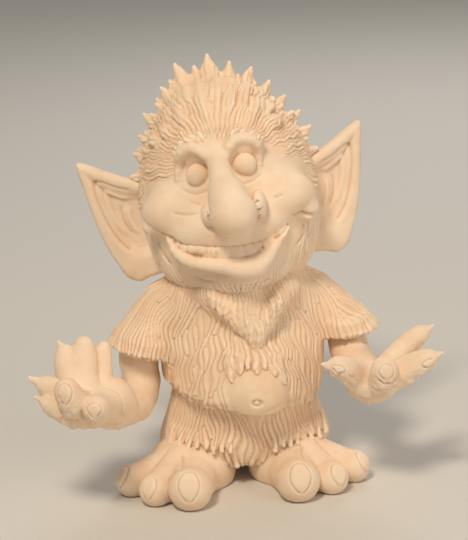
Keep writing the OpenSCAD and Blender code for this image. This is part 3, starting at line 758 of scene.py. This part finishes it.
earShape = {
    "voxel": 0.62, "thick": 7.4, "bowlDepth": 4.2, "slope": 9.0,
    "outline": [(-14, 58.5), (3.6, 64.6), (17.3, 70.4), (33.5, 78.2), (36, 74.7), (33.8, 60.8), (30.8, 43.4),
                (26.4, 26), (19.5, 11.2), (10.5, 2.6), (3.0, 4.2), (-14, 9), (-14, 21), (-14, 33), (-14, 46)],
    "bowl": [(-18, 55), (4.6, 60.5), (16.5, 65.0), (30.6, 72.6), (29.6, 60), (26.4, 44), (21.4, 29),
             (13.4, 19.5), (3, 16), (-18, 21)],
    "folds": [([(4, 58.5), (14, 61.6), (25.5, 66.5), (26.2, 57), (23, 43), (17.6, 30), (10, 21)], 0.9, 1.3),
              ([(5, 53), (14, 56), (20.5, 59), (20.5, 50), (17.5, 40), (12, 30)], -1.4, 1.7),
              ([(12, 51), (14, 46), (12.5, 38), (8.5, 30)], 0.8, 1.2),
              ([(8.5, 50), (9.5, 43), (7.5, 36), (4, 30)], -1.2, 1.4),
              ([(3.4, 27), (4.0, 24.5), (3.8, 22)], -2.6, 2.6)],
    "drop": {-1: 0.0, 1: 4.2},  # the left ear sits lower
    "turn": 16, "root": (51, 4, 0),
}


def makeEar(name, side):
    s = earShape
    rim, bowl = spline(s["outline"], 46), spline(s["bowl"], 26)
    lumps = [leaf(rim, s["thick"], 1.5), ball((10.5, 0, 11), (8.5, 4.8, 8.0), 3.0)]
    mesh = modelClay(lumps, s["voxel"])
    p, n = readPoints(mesh), readNormals(mesh)
    inside = np.clip(-outlineDistance(bowl, p) / s["slope"], 0, 1)
    front = np.clip(-n[:, 1] * 1.6, 0, 1)
    p[:, 1] += front * s["bowlDepth"] * inside * inside * (3 - 2 * inside)
    writePoints(mesh, p)
    surface = BVHTree.FromPolygons(p.tolist(), [f.vertices[:] for f in mesh.polygons])
    folds = []
    for points, depth, width in s["folds"]:
        line = spline(points, 12)
        laid = [surface.ray_cast(Vector((x, -20, z)), Vector((0, 1, 0)))[0] for x, z in line]
        folds.append(([q for q in laid if q is not None], depth, width))
    pressCreases(mesh, folds)
    root = Vector(s["root"]) - Vector((0, 0, s["drop"][side]))
    turn = Matrix.Rotation(math.radians(s["turn"]), 4, "Z")
    place = neck @ Matrix.Diagonal((side, 1, 1, 1)) @ Matrix.Translation(root) @ turn
    return finishPiece(name, mesh, place, skinFinish, name)


makeEar("ear_right", -1)
makeEar("ear_left", 1)


# arms and hands: cupped paws with thick digits, in the figure's millimetres

armShape = {
    "right": [(-56, -5, 97), (-63, -6, 87), (-62, -10, 63), (-67, -22, 53), (-78, -38, 56)],
    "left": [(56, -5, 97), (63, -6, 87), (64, -14, 75), (67, -26, 68), (71, -38, 66)],
    "girth": [11, 11.2, 11.0, 10.6, 9.8], "voxel": 0.75, "wrinkle": (6.0, 0.35),  # size and depth
}

# each digit: its line from the palm to its end, its girth along it, and where its claw points
handShape = {
    "voxel": 0.55, "wrist": (10.4, 9.4, 5.0), "wrinkle": (6.5, 0.95),
    "palms": {"right": ((-94, -57, 66), (16.5, 18, 10.5)), "left": ((70, -55, 66.5), (15.5, 17, 11.0))},
    "pads": {"right": [((-101.4, -47, 80), (8.5, 6.0, 15), 9), ((-79, -45, 64), (10, 10, 13), 12)],
             "left": []},
    "digits": {
        "right": [
            ([(-104, -53, 72), (-106.6, -45.5, 87), (-106.8, -41, 94.5)], [7.2, 6.6, 4.6],
             (-110.0, -39, 100)),
            ([(-97.4, -51, 72), (-96.6, -41, 89), (-95.6, -37, 97)], [9.0, 8.2, 4.6], (-95.4, -36.0, 98.6)),
            ([(-87, -48, 70), (-85.2, -38, 86), (-83.9, -35, 94)], [6.4, 5.2, 3.2], (-83.7, -34.6, 95.4)),
            ([(-103, -60, 69), (-113, -60, 76.5), (-119.5, -60, 81.6)], [9, 7.2, 5.2], (-128, -60, 86.8)),
            ([(-103, -62, 63), (-113, -65, 68.5), (-119.5, -66.8, 73.6)], [8.0, 6.2, 4.0],
             (-125.6, -68, 77.6)),
            ([(-100, -64, 69), (-104.5, -74, 75), (-108.0, -77.5, 84)], [8.5, 8.0, 6.8], None),
            ([(-88, -60, 66), (-91, -73, 69), (-92.8, -79, 73.0)], [8.5, 7.8, 6.8], None)],
        "left": [
            ([(64, -58, 69), (53.5, -65, 78.5), (47.5, -69, 83.0)], [9, 7.0, 4.8], (39.4, -70.2, 84.7)),
            ([(75, -62, 68), (74.6, -73, 74), (73.8, -77.5, 81)], [9.2, 8.4, 7.6], None),
            ([(82, -58, 69), (94.5, -63.5, 77.6), (102, -67, 82.4)], [8.6, 7.0, 5.2], (109.4, -69, 85.4)),
            ([(80, -52, 74), (94, -47.5, 85.6), (102.6, -45.2, 90.4)], [7.2, 5.8, 5.0], (109.3, -44, 94.2))],
    },
    "nails": {  # place, the way it faces, the way it grows, half width and half height
        "right": [((-109.4, -84, 84), (-0.25, -1, 0.1), (0.1, 0, 1), 5.2, 8.0),
                  ((-93.4, -86, 73.2), (-0.1, -1, -0.05), (0, 0, 1), 5.4, 5.2)],
        "left": [((73.7, -85, 82.6), (0, -1, 0.05), (0, 0, 1), 5.9, 5.6),
                 ((47.6, -75, 82.4), (-0.1, -1, -0.3), (0.9, 0, -0.3), 2.9, 5.0),
                 ((101, -74, 81), (0.1, -1, -0.2), (-0.9, 0, -0.4), 2.9, 4.6)],
    },
    "creases": {
        "right": [([(-88.0, -56, 72), (-88.2, -56, 70), (-88.1, -56, 67.5)], 0.9, 0.7),
                  ([(-86.0, -56, 70.5), (-86.0, -56, 68), (-85.6, -56, 65)], 0.8, 0.7),
                  ([(-113, -68, 66), (-108, -72, 62), (-100, -74, 60)], 0.6, 1.2)],
        "left": [
            ([(66.5, -82, 79), (69.5, -84, 75.6), (75, -84, 74.0), (81, -82, 76.5), (83, -80, 79)], 1.0, 0.9),
            ([(66, -80, 74.5), (70, -81, 71), (76, -81, 69.6), (82, -79, 72)], 0.9, 1.0),
            ([(53, -74, 79), (55, -74, 76.5), (57.5, -73, 72.5)], 0.7, 0.9),
            ([(57, -73, 77), (59, -73, 74), (60.5, -72, 70)], 0.6, 0.9)],
    },
}


def nailRim(clay, place, out, up, wide, high):
    out = np.array(out, float) / np.linalg.norm(out)
    side = np.cross(up, out)
    side /= np.linalg.norm(side)
    over = np.cross(out, side)
    turn = np.linspace(-0.5 * math.pi, 1.5 * math.pi, 21)
    narrow = 1 - 0.3 * np.clip(-np.sin(turn), 0, 1)
    points = np.array(place, float) + np.outer(np.cos(turn) * narrow * wide, side)
    return pressOnto(clay, points + np.outer(np.sin(turn) * high, over), 8, 4.0)


nailCut = {"groove": (0.85, 0.6), "inner": (0.62, 0.66), "dome": (-0.5, 0.4)}


# a groove round the nail and a low dome inside it
def nailMarks(clay, place, out, up, wide, high):
    rim = nailRim(clay, place, out, up, wide, high)
    innerWide, innerHigh = nailCut["inner"]
    inner = nailRim(clay, place, out, up, wide * innerWide, high * innerHigh)
    rise, spread = nailCut["dome"]
    return [(rim, *nailCut["groove"]), (inner, rise, wide * spread)]


def makeArm(name, side):
    s = armShape
    lumps = chain(spline(s[side], 9), s["girth"], 3.0)
    mesh = modelClay(lumps, s["voxel"])
    wrinkle(mesh, lambda p, n: np.clip((78 - p[:, 2]) / 25, 0, 1) * 0.5, *s["wrinkle"])
    return finishPiece(name, mesh, figure, skinFinish, name)


def makeHand(name, side):
    s = handShape
    place, r = s["palms"][side]
    wrist = armShape[side][-1]
    lumps = [ball(place, r, 4.0), limb(wrist, np.array(place) - np.array((0, 0, 3)), *s["wrist"])]
    lumps += [ball(*pad) for pad in s["pads"][side]]
    claws = []
    for path, girth, claw in s["digits"][side]:
        lumps += chain(spline(path, 7), girth, 2.0)
        if claw is not None:
            root = path[-1] + (np.array(claw) - path[-1]) * 0.2
            claws.append(limb(root, claw, girth[-1] * 0.7, 1.1, 1.2))
    clay = lumps + claws
    mesh = modelClay(clay, s["voxel"])
    creases = layCreases(clay, s["creases"][side], 9, 8, 6.0)
    for nail in s["nails"][side]:
        creases += nailMarks(clay, *nail)
    pressCreases(mesh, creases)
    wrinkle(mesh, lambda p, n: np.clip(-n[:, 2] * 1.6, 0, 1), *s["wrinkle"])
    return finishPiece(name, mesh, figure, skinFinish, name)


for side in ("right", "left"):
    makeArm("arm_" + side, side)
    makeHand("hand_" + side, side)


# feet: a smooth instep and three broad toes with large nails, pointing along -y

footShape = {
    "ankle": {"right": (-31, -13), "left": (23, -13)}, "out": {"right": -36, "left": 27},
    "length": 62.0, "instep": 27.0, "voxel": 0.7, "nailTilt": 30, "nail": (0.29, 0.5),
    "toes": [(-26, 1.0, 25.0), (0, 0.93, 19.0), (27, 0.9, 19.0)],  # turn, share of the length, width
    "outerAnkle": ((-9.1, -8.4, 13.0), (15.5, 15, 13), 7.0),  # bulges on the right foot only
}


def aimAt(heading, rise):
    h, r = math.radians(heading), math.radians(rise)
    return Vector((math.cos(h) * math.cos(r), math.sin(h) * math.cos(r), math.sin(r)))


def makeFoot(name, side):
    s = footShape
    hand = -1 if side == "right" else 1
    arch = Vector((0, -s["length"] * 0.3, s["instep"] * 0.3))
    heel = Vector((0, 10, s["instep"] * 0.4))
    lumps = [limb(heel, arch, s["instep"] * 0.65, s["instep"] * 0.7, 4.0),
             ball((-hand * 14, -7, 9), (13, 20, 17), 6.0),
             ball((0, -s["length"] * 0.5, s["instep"] * 0.25), (23, 17, 11.5), 6.0)]
    if side == "right":
        lumps.append(ball(*s["outerAnkle"]))
    ends = []
    for turn, share, wide in s["toes"]:
        aim = aimAt(-90 + hand * turn, 0)
        tip = aim * (s["length"] * share - wide / 2) + Vector((0, 0, wide * 0.45))
        lumps += [limb(arch + Vector((tip.x * 0.4, 0, 0)), tip, s["instep"] * 0.58, wide * 0.48, 2.2),
                  ball(tip, wide / 2, 2.4)]
        ends.append((tip, -90 + hand * turn, wide))
    lumps.append(carve(lambda p: p[:, 2], 1.2))
    mesh = modelClay(lumps, s["voxel"])
    marks = []
    for (one, _, _), (two, _, _) in zip(ends, ends[1:]):
        gap = (one + two) / 2
        groove = [(gap.x * k, gap.y * k, 30) for k in (1.0, 0.85, 0.7, 0.55)]
        marks.append((pressOnto(lumps, np.array(groove), 12, 6.0), 0.9, 1.3))
    for tip, heading, wide in ends:
        out = aimAt(heading, s["nailTilt"])
        up = aimAt(heading, s["nailTilt"] + 90)
        marks += nailMarks(lumps, tip + out * wide / 2, out, up, wide * s["nail"][0], wide * s["nail"][1])
    pressCreases(mesh, marks)
    x, y = s["ankle"][side]
    place = figure @ Matrix.Translation((x, y, 0)) @ Matrix.Rotation(math.radians(s["out"][side]), 4, "Z")
    return finishPiece(name, mesh, place, skinFinish, name)


for side in ("right", "left"):
    makeFoot("foot_" + side, side)


# trunk: sleeves and vest of long fur over a furry skirt, with a beard and a bare belly

trunkShape = {
    "skirt": [(13, 48, 34, -2), (22, 51.5, 38, -2), (36, 47, 38.5, -3), (50, 43, 40, -5), (56, 42, 41, -7),
              (68, 41, 40, -8)],
    "vest": [(44, 43, 42, -8), (56, 46.5, 45.5, -9), (63, 47.5, 47, -9), (84, 49.5, 43.5, -6),
             (100, 51, 40.5, -2), (115, 47, 38, -2), (130, 37, 35.5, -4)],
    "belly": ((3, -41, 63), 21.5, 2.5), "chest": ((3, -30, 119), (28, 13, 14), 8.0), "voxel": 0.66,
    "shoulder": (45, 0, 107), "hem": {-1: (62.5, -6, 79), 1: (65.5, -6, 79)}, "sleeve": (13.0, 19.5),
    "hemMiddle": {-1: 57.5, 1: 60.0}, "bare": ((3.5, 65), (18.5, 15.0)),
    "fringe": [(-13.4, -57, 74.0), (-8.0, -57, 79.0), (-2.8, -57, 82.5), (2.8, -57, 77.0), (8.6, -57, 81),
               (14.0, -57, 76.0), (19.2, -55, 69.5)],
    "beard": [[(-20, -36, 123), (-10, -41, 112), (1, -45, 98)],
              [(22, -36, 121), (14, -42, 112), (7, -45, 98)],
              [(0, -40, 124), (2, -43, 110), (4.6, -46, 96)]],
    "beardLine": [(-46, 126), (-36, 121), (-28, 117), (-22, 113), (-14.6, 107), (-8, 101.5), (-3.2, 97.5),
                  (3.1, 88.5), (7, 90.5), (10, 97), (12.5, 101), (18.3, 110), (25, 115), (32, 119),
                  (42, 123)],
    "beardMass": [5.6, 3.6, 1.4], "beardLock": [1.5, 2.2, 1.8, 0.5], "fringeLock": [2.4, 3.9, 3.0, 0.7],
    "navel": [((1.5, -62.8, 61.0), (3.6, 2.6, 2.4), 1.4, True), ((1.5, -60.6, 61.2), (1.7, 1.6, 1.3), 0.6)],
    "bellyFolds": [([(-12, -60, 57), (-4, -62, 54.5), (6, -62, 54), (16, -58, 57)], 0.9, 1.3),
                   ([(-5, -62, 66.5), (2, -63, 68), (8, -62, 66)], 0.6, 1.2)],
}

# rings of locks at the hems: how many, half widths at root and tip, the middle in y, drop, girths and blend
sleeveRing = {"count": 30, "root": (13.8, 19.4), "tip": (16.8, 22.4), "y": -5, "drop": (1.0, 3.2),
              "lock": (3.8, 1.0, 2.6)}
vestRing = {"count": 54, "tip": (45, 44), "y": -8.5, "narrow": 0.965, "drop": (0.5, 2.6),
            "lock": (3.4, 1.0, 2.2)}
skirtRing = {"count": 60, "root": (45.5, 33.5), "tip": (48.3, 35.8), "y": -2, "top": 27, "end": (13.5, 18),
             "lock": (3.2, 1.0, 2.0)}
footPoints = {"from": 13, "to": 46, "count": 8, "top": 33, "end": (23, 27), "lock": (3.4, 0.6, 2.6)}

trunkComb = {"seed": 3, "steps": 34, "step": 1.5, "wave": 0.4, "waveLength": 24.0, "pitch": 2.3,
             "length": 95.0, "shortest": 13.0, "depth": 1.25, "slack": 0.1, "seeds": 6500}

beardComb = {"seed": 4, "step": 1.2, "wave": 0.25, "waveLength": 16.0, "pitch": 1.9, "length": 34.0,
             "shortest": 9.0, "depth": 0.8, "seeds": 9000}


def inBeard(p):  # below zero on the beard, in millimetres
    line = trunkShape["beardLine"]
    level = np.interp(p[:, 0], [x for x, _ in line], [z for _, z in line])
    return np.where(p[:, 1] < -18, np.clip((level - p[:, 2]) * 0.6, -20, 20), 20)


def sleeveLevel(x):  # the right sleeve's hem drops towards the trunk
    return np.where(x < 0, 87.5 - 0.2 * (x + 80), 87.0)


def hemLevel(p):
    return 52 + np.minimum(8.5 * ((p[:, 0] - 13) / 47) ** 2, 12)


def bareBelly(p):
    (x, z), (wide, high) = trunkShape["bare"]
    e = np.hypot((p[:, 0] - x) / wide, (p[:, 2] - z) / high)
    return np.where(p[:, 1] < -20, e, 9.0)


# a lock laid on the clay: its root sinks in, its tip lifts off a little
def layLock(clay, points, radii, sink, lift, blend=1.2, rounds=8, count=5):
    path = pressOnto(clay, np.array(points, float), rounds, 8.0)
    n = claySlope(clay, path)[1]
    path = path + n * np.linspace(-sink, lift, len(path))[:, None]
    return chain(spline(path, count), radii, blend)


# uneven turns round a ring
def ringTurns(rng, count):
    for k in range(count):
        yield 2 * math.pi * (k + rng.uniform(-0.25, 0.25)) / count


def trunkLumps():
    s = trunkShape
    rng = np.random.default_rng(21)
    lumps = []
    for side in (-1, 1):
        (a, b, c), (d, e, f) = s["shoulder"], s["hem"][side]
        lumps.append(limb((side * a, b, c), (side * d, e, f), *s["sleeve"], 7.0, squash=0.76))
    lumps.append(carve(lambda p: p[:, 2] - sleeveLevel(p[:, 0]), 1.0))
    lumps += [loft(s["vest"], 7.0), ball(*s["chest"]), ball(*s["belly"])]
    lumps.append(carve(lambda p: p[:, 2] - hemLevel(p), 1.0))
    lumps.append(loft(s["skirt"], 2.0))
    clay = list(lumps)
    for path in s["beard"]:
        lumps += chain(spline(path, 5), s["beardMass"], 8.0)
    mass = list(lumps)
    for x, z in spline(s["beardLine"], 30)[5:-5]:
        x, z = x + rng.uniform(-0.8, 0.8), z + rng.uniform(-4.5, 1.5)
        root, bend = (x * 0.88 + 0.6, -48, z + 17), (x * 0.95 + rng.uniform(-1.2, 1.2), -50, z + 8)
        lumps += layLock(mass, [root, bend, (x, -50, z)], s["beardLock"], 1.4, 0.4)
    for x, y, z in s["fringe"]:
        bend = (x + rng.uniform(-1, 1), y, z + 11)
        lumps += layLock(clay, [(x * 0.95, y, z + 23), bend, (x, y, z)], s["fringeLock"], 1.8, 1.3)
    return lumps + hemLocks(rng) + [ball(*part) for part in s["navel"]]


# locks round the sleeves, the vest and the skirt, and points of fur over the feet
def hemLocks(rng):
    locks = []
    r = sleeveRing
    for side in (-1, 1):
        wide = trunkShape["hemMiddle"][side]
        for turn in ringTurns(rng, r["count"]):
            x, y = math.cos(turn), math.sin(turn)
            level = float(sleeveLevel(side * (wide + 16 * x)))
            root = (side * (wide + r["root"][0] * x), r["y"] + r["root"][1] * y, level + 5)
            tip = (side * (wide + r["tip"][0] * x), r["y"] + r["tip"][1] * y, level - rng.uniform(*r["drop"]))
            locks.append(limb(root, tip, *r["lock"]))
    r = vestRing
    for turn in ringTurns(rng, r["count"]):
        x, y = r["tip"][0] * math.cos(turn), r["y"] + r["tip"][1] * math.sin(turn)
        level = float(hemLevel(np.array([[x, y, 0]]))[0])
        if abs(x - 4) < 25 and y < 0:  # the fringe hangs here
            continue
        root = (x * r["narrow"], -8 + (y + 8) * r["narrow"], level + 5)
        locks.append(limb(root, (x, y, level - rng.uniform(*r["drop"])), *r["lock"]))
    r = skirtRing
    for turn in ringTurns(rng, r["count"]):
        x, y = math.cos(turn), math.sin(turn)
        root = (r["root"][0] * x, r["y"] + r["root"][1] * y, r["top"])
        tip = (r["tip"][0] * x, r["y"] + r["tip"][1] * y, rng.uniform(*r["end"]))
        locks.append(limb(root, tip, *r["lock"]))
    r = footPoints
    for x in np.linspace(r["from"], r["to"], r["count"]):
        front = -2 - 38 * math.sqrt(1 - (x / 52) ** 2)
        for side in (-1, 1):
            tip = (side * x * 1.03, front - 4, rng.uniform(*r["end"]))
            locks.append(limb((side * x * 0.95, front + 2.5, r["top"]), tip, *r["lock"]))
    return locks


# the rough sleeves end at their hems before they are smoothed onto the clay
def cutSleeves(mesh):
    p = readPoints(mesh)
    sleeve = (np.abs(p[:, 0]) > 50) & (p[:, 2] > 52)
    p[sleeve, 2] = np.maximum(p[sleeve, 2], sleeveLevel(p[sleeve, 0]))
    writePoints(mesh, p)
    return mesh


def makeTrunk():
    s, c = trunkShape, dict(trunkComb)
    lumps = trunkLumps()
    mesh = modelClay(lumps, s["voxel"], cutSleeves)
    print("trunk clay", len(mesh.vertices))

    def aim(p):
        over = np.clip((p[:, 2] - 92) / 20, 0, 1)
        return np.c_[p[:, 0] / 45 * over, (p[:, 1] + 4) / 45 * over, -1 + 0 * over]

    c["aim"] = aim
    c["along"] = lambda p: p[:, 2] + 0.5 * np.abs(p[:, 0])
    c["loose"] = lambda p: 1.0
    c["keep"] = lambda p: (bareBelly(p) > 1.0) & (p[:, 2] > 13) & (inBeard(p) > 0)
    strands = combStrands(mesh, c)
    cutFurrows(mesh, strands, c, lambda p: np.clip((bareBelly(p) - 0.93) * 8, 0, 1) * (p[:, 2] > 12.6)
               * np.clip(inBeard(p), 0, 1))
    c.update(beardComb)
    c["keep"] = lambda p: inBeard(p) < 1
    strands += combStrands(mesh, c)
    cutFurrows(mesh, strands, c, lambda p: np.clip(1 - inBeard(p), 0, 1))
    pressCreases(mesh, s["bellyFolds"])
    print("trunk strands", len(strands))
    return finishPiece("torso", mesh, figure, furFinish, "torso")


makeTrunk()


# mane: short wild hair swept back from the face into big points, in the face's own millimetres

maneShape = {
    "rows": [(4, 30, 26, 14), (22, 42, 35, 16), (46, 47, 39, 13), (66, 49, 43, 7), (80, 43.5, 41, 4),
             (91, 36.5, 36, 3), (103, 27.5, 28, 3), (112.5, 17.5, 18, 4), (119, 2, 2, 6)],
    "brow": ((0, -34, 84), (25.4, 13.4, 10.4), 8), "voxel": 0.6, "face": (0, -46, 74),
    "windowBack": -18.0, "earLevel": (38.0, 12.0),
    "hairline": [(-4.5, 85.8), (6.1, 85.1), (10.9, 86.4), (16.2, 83.7), (19.5, 78.8), (26.8, 76.4),
                 (31.1, 73.5), (32.1, 66.8), (40.7, 65.5), (43.7, 61.9), (43.9, 56.8), (46.6, 49.4),
                 (51.8, 39.2), (50.5, 25.4), (47.3, 2.2), (0, -16.5), (-47.3, 2.2), (-50.5, 20.2),
                 (-48.1, 43.1), (-43.3, 50.7), (-44.3, 57.7), (-44.1, 61.9), (-33, 63.9), (-25.9, 66.6),
                 (-22.7, 73.7), (-21.5, 78.1), (-19.3, 81.7), (-16.4, 83.8), (-10.4, 83.8)],
    "tips": [(0.7, 130.4), (-8, 125), (-18.6, 128.2), (-23, 119), (-28.7, 116), (-33, 107), (-37.1, 101.5),
             (-42, 91.5), (-48, 82), (-54.6, 66.5), (12.9, 124), (22.5, 116.5), (26, 109), (32.6, 107.4),
             (35, 98), (39.8, 93.5), (45.4, 88), (47.5, 78.5), (51.5, 70.5), (56.4, 64)],
    "middle": (0, 6, 64), "spike": 11.0,
    "outerLock": [1.8, 3.4, 4.4], "innerLock": [1.8, 3.2, 2.8, 1.0], "tuftLock": [1.5, 1.9, 1.6, 0.7],
    # behind: which row, how many, how far round to each side in degrees, and how steep
    "spikes": [(0.9, 4, 55, 0.0), (2, 5, 66, 0.2), (3.35, 6, 76, 0.6), (4.1, 6, 76, 0.8), (5, 5, 76, 1.1),
               (5.8, 4, 76, 1.4), (6.7, 3, 76, 1.9)],
    "inner": [(-66, 0.72), (-52, 0.62), (-40, 0.74), (-29, 0.62), (-17, 0.76), (-7, 0.64), (5, 0.78),
              (14, 0.64), (25, 0.74), (37, 0.64), (49, 0.74), (62, 0.64)],
    "tufts": [((-8.7, 90.7), (-10.3, 99.4)), ((-12.8, 91.4), (-16.7, 99.5)), ((-16.4, 90.2), (-19.5, 98.6)),
              ((-21, 89.1), (-24, 97.1)), ((-23.2, 85.9), (-28.1, 93.3)), ((-24.8, 81.7), (-31, 86.6)),
              ((8.8, 91.6), (12.7, 97.7)), ((15.3, 91.6), (17.6, 98.1)), ((19.9, 89.3), (23.2, 96.4)),
              ((22.9, 86.1), (28.7, 92)), ((26, 83), (32.9, 86.6))],
}

maneComb = {"seed": 8, "steps": 26, "step": 1.0, "wave": 0.3, "waveLength": 11.0, "pitch": 2.0,
            "length": 40.0, "shortest": 6.0, "depth": 1.15, "slack": 0.15, "seeds": 7000}

# the locks behind are broader
tipComb = {"seed": 9, "steps": 30, "wave": 0.36, "waveLength": 13.0, "pitch": 2.8, "length": 50.0,
           "shortest": 9.0, "depth": 1.25, "seeds": 6000}


# a lock laid on the cap from near the brow out to its tip, given across and up the face
def maneLock(cap, tip, shares, radii, sink, lift):
    fx, _, fz = maneShape["face"]
    path = [(fx + (tip[0] - fx) * k, -40 + 45 * k, fz + (tip[1] - fz) * k) for k in shares]
    return layLock(cap, path, radii, sink, lift, 3.0, 10, 6)


# below zero in the opening for the face, and in the one below the ears
def faceWindow(p, back):
    line = np.array(maneShape["hairline"], float)
    return np.maximum(outlineDistance(line, p), p[:, 1] - back)


def earWindow(p):
    low, rear = maneShape["earLevel"]
    return np.maximum(p[:, 2] - low, p[:, 1] - rear)


# how far the hair lies behind the edge of the openings, in millimetres
def inland(p):
    return np.minimum(faceWindow(p, maneShape["windowBack"]), earWindow(p))


def maneLumps():
    s = maneShape
    lumps = [loft(skullRows, 5.0, 1.5), ball(*s["brow"])]
    lumps.append(carve(lambda p: faceWindow(p, 5), 1.5))
    lumps.append(loft(s["rows"], 4.0))
    lumps.append(carve(lambda p: faceWindow(p, s["windowBack"]), 1.5))
    lumps.append(carve(earWindow, 1.5))
    cap = list(lumps)
    turn = Matrix.Rotation(math.radians(7), 3, "Z")
    middle = Vector(s["middle"])
    for x, z in s["tips"]:
        share = min(max((z - 60) / 65, 0), 1)
        tip = turn @ Vector((x, 4 - share, z))
        root = tip - (tip - middle).normalized() * (15 + 8 * share)
        lumps.append(limb(root, tip, 7.6 + 3.2 * share, 1.0, 2.5))
        if z > 75:
            lumps += maneLock(cap, (x, z), (0.45, 0.62, 0.8), s["outerLock"], 1.4, -1.4)
    for angle, share in s["inner"]:
        tip = (62 * math.sin(math.radians(angle)), s["face"][2] + 54 * math.cos(math.radians(angle)))
        lumps += maneLock(cap, tip, (0.42, share - 0.1, share), s["innerLock"], 1.4, 1.2)
    rows = np.array(s["rows"], float)
    for place, count, sweep, rise in s["spikes"]:
        z, wide, deep, mid = spline(rows, (len(rows) - 1) * 20 + 1)[int(round(place * 20))]
        for k in range(count):
            angle = math.radians(90 + sweep * (2 * k / (count - 1) - 1))
            x, y = math.cos(angle), math.sin(angle)
            out = np.array((x, y, rise)) / math.hypot(1, rise)
            root = np.array((wide * x, mid + deep * y, z))
            reach = s["spike"] * (0.8 + 0.2 * math.sin(math.radians(k * 115)))
            lumps.append(limb(root - out * 6, root + out * reach, 8.0, 1.1, 2.5))
    return lumps, cap


def maneTufts(lumps):
    tufts = []
    for (x0, z0), (x1, z1) in maneShape["tufts"]:
        path = np.array([(x0, -40, z0), ((x0 + x1) / 2, -40, (z0 + z1) / 2), (x1, -38, z1)], float)
        path = pressOnto(lumps, path, 8, 8.0)
        path[2] += np.array((0, -2.4, 0.4))
        tufts += chain(spline(path, 5), maneShape["tuftLock"], 1.2)
    return tufts


# the openings for the face and below the ears, cut through the rough cap before it is smoothed onto the clay
def cutFaceWindow(mesh):
    s = maneShape
    low, rear = s["earLevel"]
    below = [(-90, -60), (90, -60), (90, low), (-90, low)]
    holder = addObject("cap", mesh)
    cutters = [blockOf(s["hairline"], s["windowBack"]), blockOf(below, rear)]
    for cutter in cutters:
        cut = holder.modifiers.new("window", "BOOLEAN")
        cut.operation = "DIFFERENCE"
        cut.object = cutter
    made = takeResult(holder)
    for cutter in cutters:
        bpy.data.objects.remove(cutter)
    return made


def blockOf(outline, rear):
    bm = bmesh.new()
    front = bm.faces.new([bm.verts.new((x, -90, z)) for x, z in outline])
    grown = bmesh.ops.extrude_face_region(bm, geom=[front])["geom"]
    moved = [v for v in grown if isinstance(v, bmesh.types.BMVert)]
    bmesh.ops.translate(bm, verts=moved, vec=(0, 90 + rear, 0))
    bmesh.ops.recalc_face_normals(bm, faces=bm.faces)
    return addObject("window", meshOf(bm, "window"))


# near its edge the hair sinks into the skin, so that strands grow out of the face one by one
def sinkEdge(mesh, band=11.0, under=1.7):
    p = readPoints(mesh)
    deep = inland(p)
    near = np.flatnonzero(deep < band)
    skin = headLumps()[0][:-1]  # without the cut at its back
    d, n, size = claySlope(skin, p[near])
    d = d / size
    t = np.clip(deep[near] / band, 0, 1)
    down = np.where(d > -under, (d + under) * (1 - t * t * (3 - 2 * t)), 0)
    p[near] -= n * down[:, None]
    writePoints(mesh, p)


def makeMane():
    s, c = maneShape, dict(maneComb)
    lumps, cap = maneLumps()
    lumps += maneTufts(lumps)
    mesh = modelClay(lumps, s["voxel"], cutFaceWindow)
    print("mane clay", len(mesh.vertices))

    def aim(p):
        away = p - np.array(s["face"])
        away = away / lengths(away)[:, None]
        behind = np.clip((p[:, 1] - 15) / 25, 0, 1)[:, None]
        return away * (1 - behind) + behind * np.array((0, 0, -1.0))

    c["aim"] = aim
    c["along"] = lambda p: lengths(p - np.array(s["face"]))
    c["loose"] = lambda p: np.clip(np.abs(p[:, 0]) / 22, 0.25, 1)
    sinkEdge(mesh)
    c["keep"] = lambda p: (inland(p) > 1) & (inland(p) < 18)
    strands = combStrands(mesh, c)
    cutFurrows(mesh, strands, c, lambda p: np.clip(inland(p) / 3, 0, 1) * np.clip((19 - inland(p)) / 3, 0, 1))
    c.update(tipComb)
    c["keep"] = lambda p: inland(p) > 15
    locks = combStrands(mesh, c)
    cutFurrows(mesh, locks, c, lambda p: np.clip((inland(p) - 16) / 3, 0, 1)
               * np.clip(1 - (clayDistance(cap, p) - 3) / 7, 0.3, 1))  # smooth points
    strands += locks
    print("mane strands", len(strands))
    return finishPiece("mane", mesh, face, furFinish, "mane")


makeMane()


visualBox = [list(corner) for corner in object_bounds()]
{"cad": [[float(v) for v in c] for c in cadBox], "visual": [[float(v) for v in c] for c in visualBox]}
